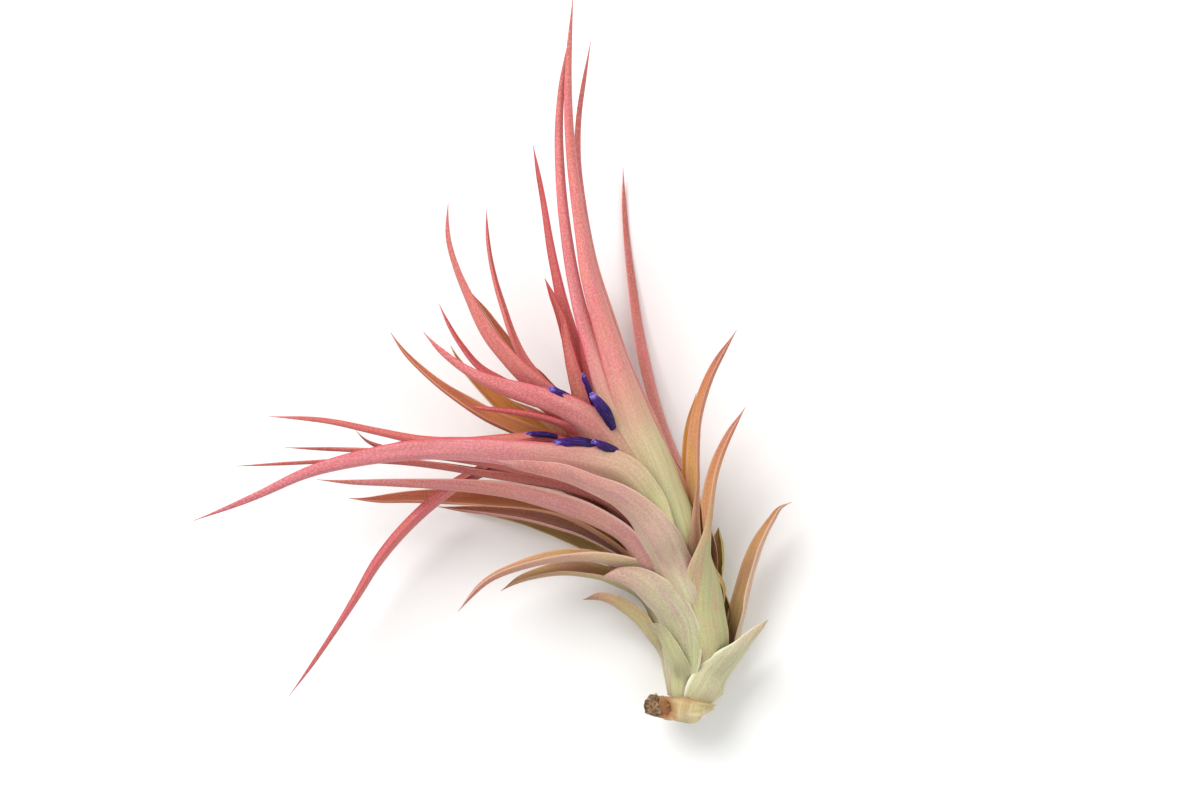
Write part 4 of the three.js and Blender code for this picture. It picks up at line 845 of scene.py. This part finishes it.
def barkMaterial():
    finish = barkFinish
    material, start, shader = newMaterial("barkFinish", {"Specular IOR Level": 0.25})
    place = start.add("ShaderNodeTexCoord", output=3)
    coarse = place.noise(finish["coarseScale"], 6.0, 0.7)
    fine = place.noise(finish["fineScale"], 4.0)
    height = coarse + fine * finish["fineShare"]
    connect(start, shader, {
        "Base Color": coarse.ramp(finish["skin"]),
        "Normal": height.bump(finish["bumpStrength"], finish["bumpDepth"] * mm),
        "Roughness": finish["roughness"] + fine * finish["fineRoughness"]})
    return material


stemFinish = {
    "skin": [(0.3, "8f8658"), (0.6, "c9c394")],
    "scarScale": 300.0,  # noise cells in a metre
    "bumpStrength": 0.5,
    "bumpDepth": 0.3,  # millimetres
    "roughness": 0.6,
    "scarRoughness": 0.2,
}


def stemMaterial():
    finish = stemFinish
    material, start, shader = newMaterial("stemFinish", {"Specular IOR Level": 0.3})
    place = start.add("ShaderNodeTexCoord", output=3)
    scars = place.noise(finish["scarScale"], 5.0)
    connect(start, shader, {
        "Base Color": scars.ramp(finish["skin"]),
        "Normal": scars.bump(finish["bumpStrength"], finish["bumpDepth"] * mm),
        "Roughness": finish["roughness"] + scars * finish["scarRoughness"]})
    return material


petalFinish = {
    "skin": [(0.0, "2c1656"), (0.3, "1e0b44"), (0.7, "300f58"), (0.9, "46227e"), (1.0, "8e78cc")],
    "streak": "6046a6",  # painted highlight on the creases along a petal
    "streakEdge": (0.5, 0.68),
    "creaseHighlightStrength": 0.55,
    "rim": "8468be",
    "rimEdge": (0.86, 1.0),
    "rimStrength": 0.9,
    "cloudScale": 700.0,  # noise cells in a metre
    "cloudDrift": 0.25,
    "veinPitch": (4.0, 0.4, 1),  # noise cells in a millimetre, across and along
    "cloudShare": 0.5,  # of the cloud in the relief
    "bumpStrength": 0.6,
    "bumpDepth": 0.25,  # millimetres
    "roughness": 0.45,
    "veinRoughness": 0.25,
}


def petalMaterial(seed):
    finish = petalFinish
    material, start, shader = newMaterial("petalFinish", {"Specular IOR Level": 0.3})
    place, grain, rimShare, alongShare = surfaceWires(start)
    cloud = place.noise(finish["cloudScale"], 3.0, seed=seed)
    veins = grain.stretch(finish["veinPitch"]).noise(1.0, 2.0)
    drift = alongShare + (cloud - 0.5) * finish["cloudDrift"]
    skin = drift.ramp(finish["skin"])
    # painted highlight: the petal is made lighter along its veins for light caught on its crinkles
    streaks = veins.between(*finish["streakEdge"]) * finish["creaseHighlightStrength"]
    skin = streaks.blend(skin, linear(finish["streak"]))
    paleRim = rimShare.between(*finish["rimEdge"]) * cloud
    skin = (paleRim * finish["rimStrength"]).blend(skin, linear(finish["rim"]))
    height = veins + cloud * finish["cloudShare"]
    connect(start, shader, {
        "Base Color": skin, "Normal": height.bump(finish["bumpStrength"], finish["bumpDepth"] * mm),
        "Roughness": finish["roughness"] + veins * finish["veinRoughness"]})
    return material


for order, leaf in enumerate(leaves + dryScales):
    random = np.random.default_rng(leafForm["seed"] + order)
    material = leafMaterial(leaf["name"] + "_finish", paints[leaf["paint"]], float(order))
    piece = buildPiece(leaf["name"] + "_blade", [leafShell(leaf, random)], material)
    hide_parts(leaf["name"])
print("leaves grown:", len(leaves), "and dry scales:", len(dryScales))

# The stem is a plain rod; the stub is one too, with a broken, hollowed end and fibrous bark
stemRows = np.column_stack([stemForm["line"], stemRadius(stemKnots)])
stemShares = np.linspace(0, 1, stemForm["stations"])
stem = buildPiece("stem_core", [
    rodShell(stemRows, stemShares, stemForm["sides"], np.ones(stemForm["stations"]))], stemMaterial())
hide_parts("stem")

stubForm = {
    "line": [(-9.5, -24.8, 16.5, 3), (-14, -23.2, 19.5, 4.2), (-18.5, -21.4, 22.8, 4)],  # x, y, z, radius
    "stations": 60,
    "sides": 64,
    "scale": 0.92,  # of the rod under the bark
    "barkDepth": 0.45,
    "fibres": (5, 9, 13, 21),  # waves of the bark round the stub
    "fibreTwist": 4,  # the most that a wave turns along the stub, in radians
    "footBark": 0.35,  # depth of the bark at the foot against that at the end
    "seed": 7,
    "pitDepth": 0.3,  # of the hollow in the broken end, as a share of the length
    "pitNarrowing": 0.94,
    "pitStations": 16,
}


def barkRelief(share, angle):  # fibres along the stub, deeper towards its broken end
    random = np.random.default_rng(stubForm["seed"])
    total = 0
    for k in stubForm["fibres"]:
        phase = k * angle + 6 * random.random() + stubForm["fibreTwist"] * random.random() * share
        total = total + np.sin(phase) / math.sqrt(k)
    return stubForm["barkDepth"] * total * mix(stubForm["footBark"], 1, share)


pit = np.linspace(0, 1, stubForm["pitStations"] + 1)[1:]
stubShares = np.concatenate([
    np.linspace(0, 1, stubForm["stations"]), 1 - stubForm["pitDepth"] * np.sin(pit * math.pi / 2)])
pitScales = stubForm["scale"] * (1 - stubForm["pitNarrowing"] * pit)
stubScales = np.concatenate([np.full(stubForm["stations"], stubForm["scale"]), pitScales])
stub = buildPiece("old_stub_bark", [
    rodShell(stubForm["line"], stubShares, stubForm["sides"], stubScales, barkRelief)], barkMaterial())
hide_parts("old_stub")
print("stem and stub made")

flowerForm = {
    "petals": 3,
    "curl": 78,  # half the angle that a petal wraps, in degrees
    "stations": 40,
    "cells": 20,
    "thickness": 0.3,
    "startShare": 0.02,  # where on the flower's line a petal starts
    "longest": 1.1,  # the longest petal against the line
    "turnSpread": 25,  # the most that a petal is out of its even place, in degrees
    "spiral": 40,  # degrees that a petal winds round the line
    "axisShift": 0.3,  # of a petal's own axis behind the line, against its flare
    "footWidth": 0.55,
    "closeDepth": 0.93,  # how much narrower the tip is
    "closePower": 2.5,
    "arcFrom": 0.35,  # part of a half wave that the petal's arc follows
    "arcTo": 0.985,
    "arcPower": 0.4,
    "crumple": 0.5,
    "crumpleWaves": [(1, 5, 9), (0.6, 11, -14)],  # size, waves across, waves along
    "coreStations": 24,
    "coreSides": 16,
    "coreScale": 0.6,
    "seed": 500,
}
flowers = [  # each row is x, y, z and radius
    {"name": "flower_1",
     "rows": [(-44.6, 91, 57.5, 1.2), (-49.5, 94.4, 61.5, 1.7), (-55.8, 98, 65, 1.6)]},
    {"name": "flower_2",
     "rows": [(-40, 92, 56, 0.9), (-41.6, 97.5, 60.3, 1), (-43.6, 102.6, 63.3, 0.8)]},
    {"name": "flower_3",
     "rows": [(-32.6, 83, 56.5, 1.6), (-35.8, 89.5, 61.5, 2.4), (-40.4, 95.6, 66, 2.2)]},
    {"name": "flower_4",
     "rows": [(-53.5, 80, 56.3, 0.9), (-58.5, 80.9, 58.8, 1), (-64, 81.2, 61, 0.8)]},
    {"name": "flower_5",
     "rows": [(-37, 76.4, 59.8, 1.5), (-44.5, 78, 63.7, 2), (-54, 77.8, 66.7, 1.6)]},
    {"name": "flower_6",
     "rows": [(-31.2, 74.9, 58.7, 1.2), (-35, 76.2, 62.2, 1.6), (-39.8, 78.2, 65.2, 1.4)]},
]


# A flower's petals are rolled round one axis, swell along it and then close to a point. reach is
# the flare, plus the thickness on the outer face, plus a crumple of sines that grows towards the
# tip and the rims.
def petalShell(flower, petal, random):
    form = flowerForm
    at, headingAt, knots = curveThrough(flower["rows"])
    share = np.linspace(0, 1, form["stations"])
    distance = knots[-1] * mix(form["startShare"], mix(1.0, form["longest"], random.random()), share)
    rows = at(distance)
    heading = headingAt(distance)
    turn = 360 * petal / form["petals"] + form["turnSpread"] * random.random() + form["spiral"] * share
    opening = facing(heading, turn)
    side = np.cross(heading, opening)
    flare = rows[:, 3] * mix(form["footWidth"], 1.0, share)
    flare = flare * (1 - form["closeDepth"] * share ** form["closePower"])
    half = np.sin(math.pi * mix(form["arcFrom"], form["arcTo"], share)) ** form["arcPower"]
    half = math.radians(form["curl"]) * half
    across, outer, inside = sheetRing(form["cells"])
    angle = across * half[:, None]
    waves = 0
    for size, wide, long in form["crumpleWaves"]:
        waves = waves + size * np.sin(wide * across + long * share[:, None] + 6 * random.random())
    crumple = form["crumple"] * share[:, None] * np.minimum(1, rows[:, 3:4]) * waves
    thick = form["thickness"] * np.sqrt(1 - across ** 8) * np.ones_like(angle)
    reach = flare[:, None] + outer * thick + crumple * np.abs(across)
    centre = rows[:, :3] - opening * (form["axisShift"] * flare)[:, None]
    points = aroundCentre(centre, side, opening, angle, reach)
    return sheetParts(points, across, share, angle * flare[:, None], distance, inside)


for order, flower in enumerate(flowers):
    random = np.random.default_rng(flowerForm["seed"] + order)
    shells = [petalShell(flower, petal, random) for petal in range(flowerForm["petals"])]
    coreScales = np.full(flowerForm["coreStations"], flowerForm["coreScale"])
    coreShares = np.linspace(0, 1, flowerForm["coreStations"])
    shells.append(rodShell(flower["rows"], coreShares, flowerForm["coreSides"], coreScales))
    piece = buildPiece(flower["name"] + "_petals", shells, petalMaterial(float(order)))
    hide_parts(flower["name"])
print("flowers opened:", len(flowers))

studio = {
    "floorSize": 4.0,
    "floorColour": "fbfbfa",
    "skyColour": "ffffff",
    "skyStrength": 0.62,
    "aim": (-0.05, 0.1, 0.03),
    "lamps": [  # place in metres, side length in metres, watts
        ((-0.8, 1.0, 1.5), 1.0, 26),
        ((0.9, -0.3, 1.4), 1.4, 5),
    ],
}
floorMesh = bpy.data.meshes.new("floor")
reach = studio["floorSize"] / 2
corners = [(-reach, -reach, 0), (reach, -reach, 0), (reach, reach, 0), (-reach, reach, 0)]
floorMesh.from_pydata(corners, [], [(0, 1, 2, 3)])
floor = addObject("floor", floorMesh)
floorMesh.materials.append(newMaterial("floorFinish", {
    "Base Color": linear(studio["floorColour"]), "Roughness": 0.9, "Specular IOR Level": 0.2})[0])

sky = bpy.data.worlds.new("softSky")
sky.use_nodes = True
sky.node_tree.nodes["Background"].inputs["Color"].default_value = linear(studio["skyColour"])
sky.node_tree.nodes["Background"].inputs["Strength"].default_value = studio["skyStrength"]
bpy.context.scene.world = sky
bpy.context.scene.view_settings.view_transform = "Standard"  # colours stay as they are mixed
for number, (place, size, watts) in enumerate(studio["lamps"]):
    lampData = bpy.data.lights.new("lamp%d" % number, "AREA")
    lampData.size = size
    lampData.energy = watts
    lamp = addObject("lamp%d" % number, lampData)
    lamp.location = place
    towards = Vector(studio["aim"]) - Vector(place)
    lamp.rotation_euler = towards.to_track_quat("-Z", "Y").to_euler()
print("studio lit")

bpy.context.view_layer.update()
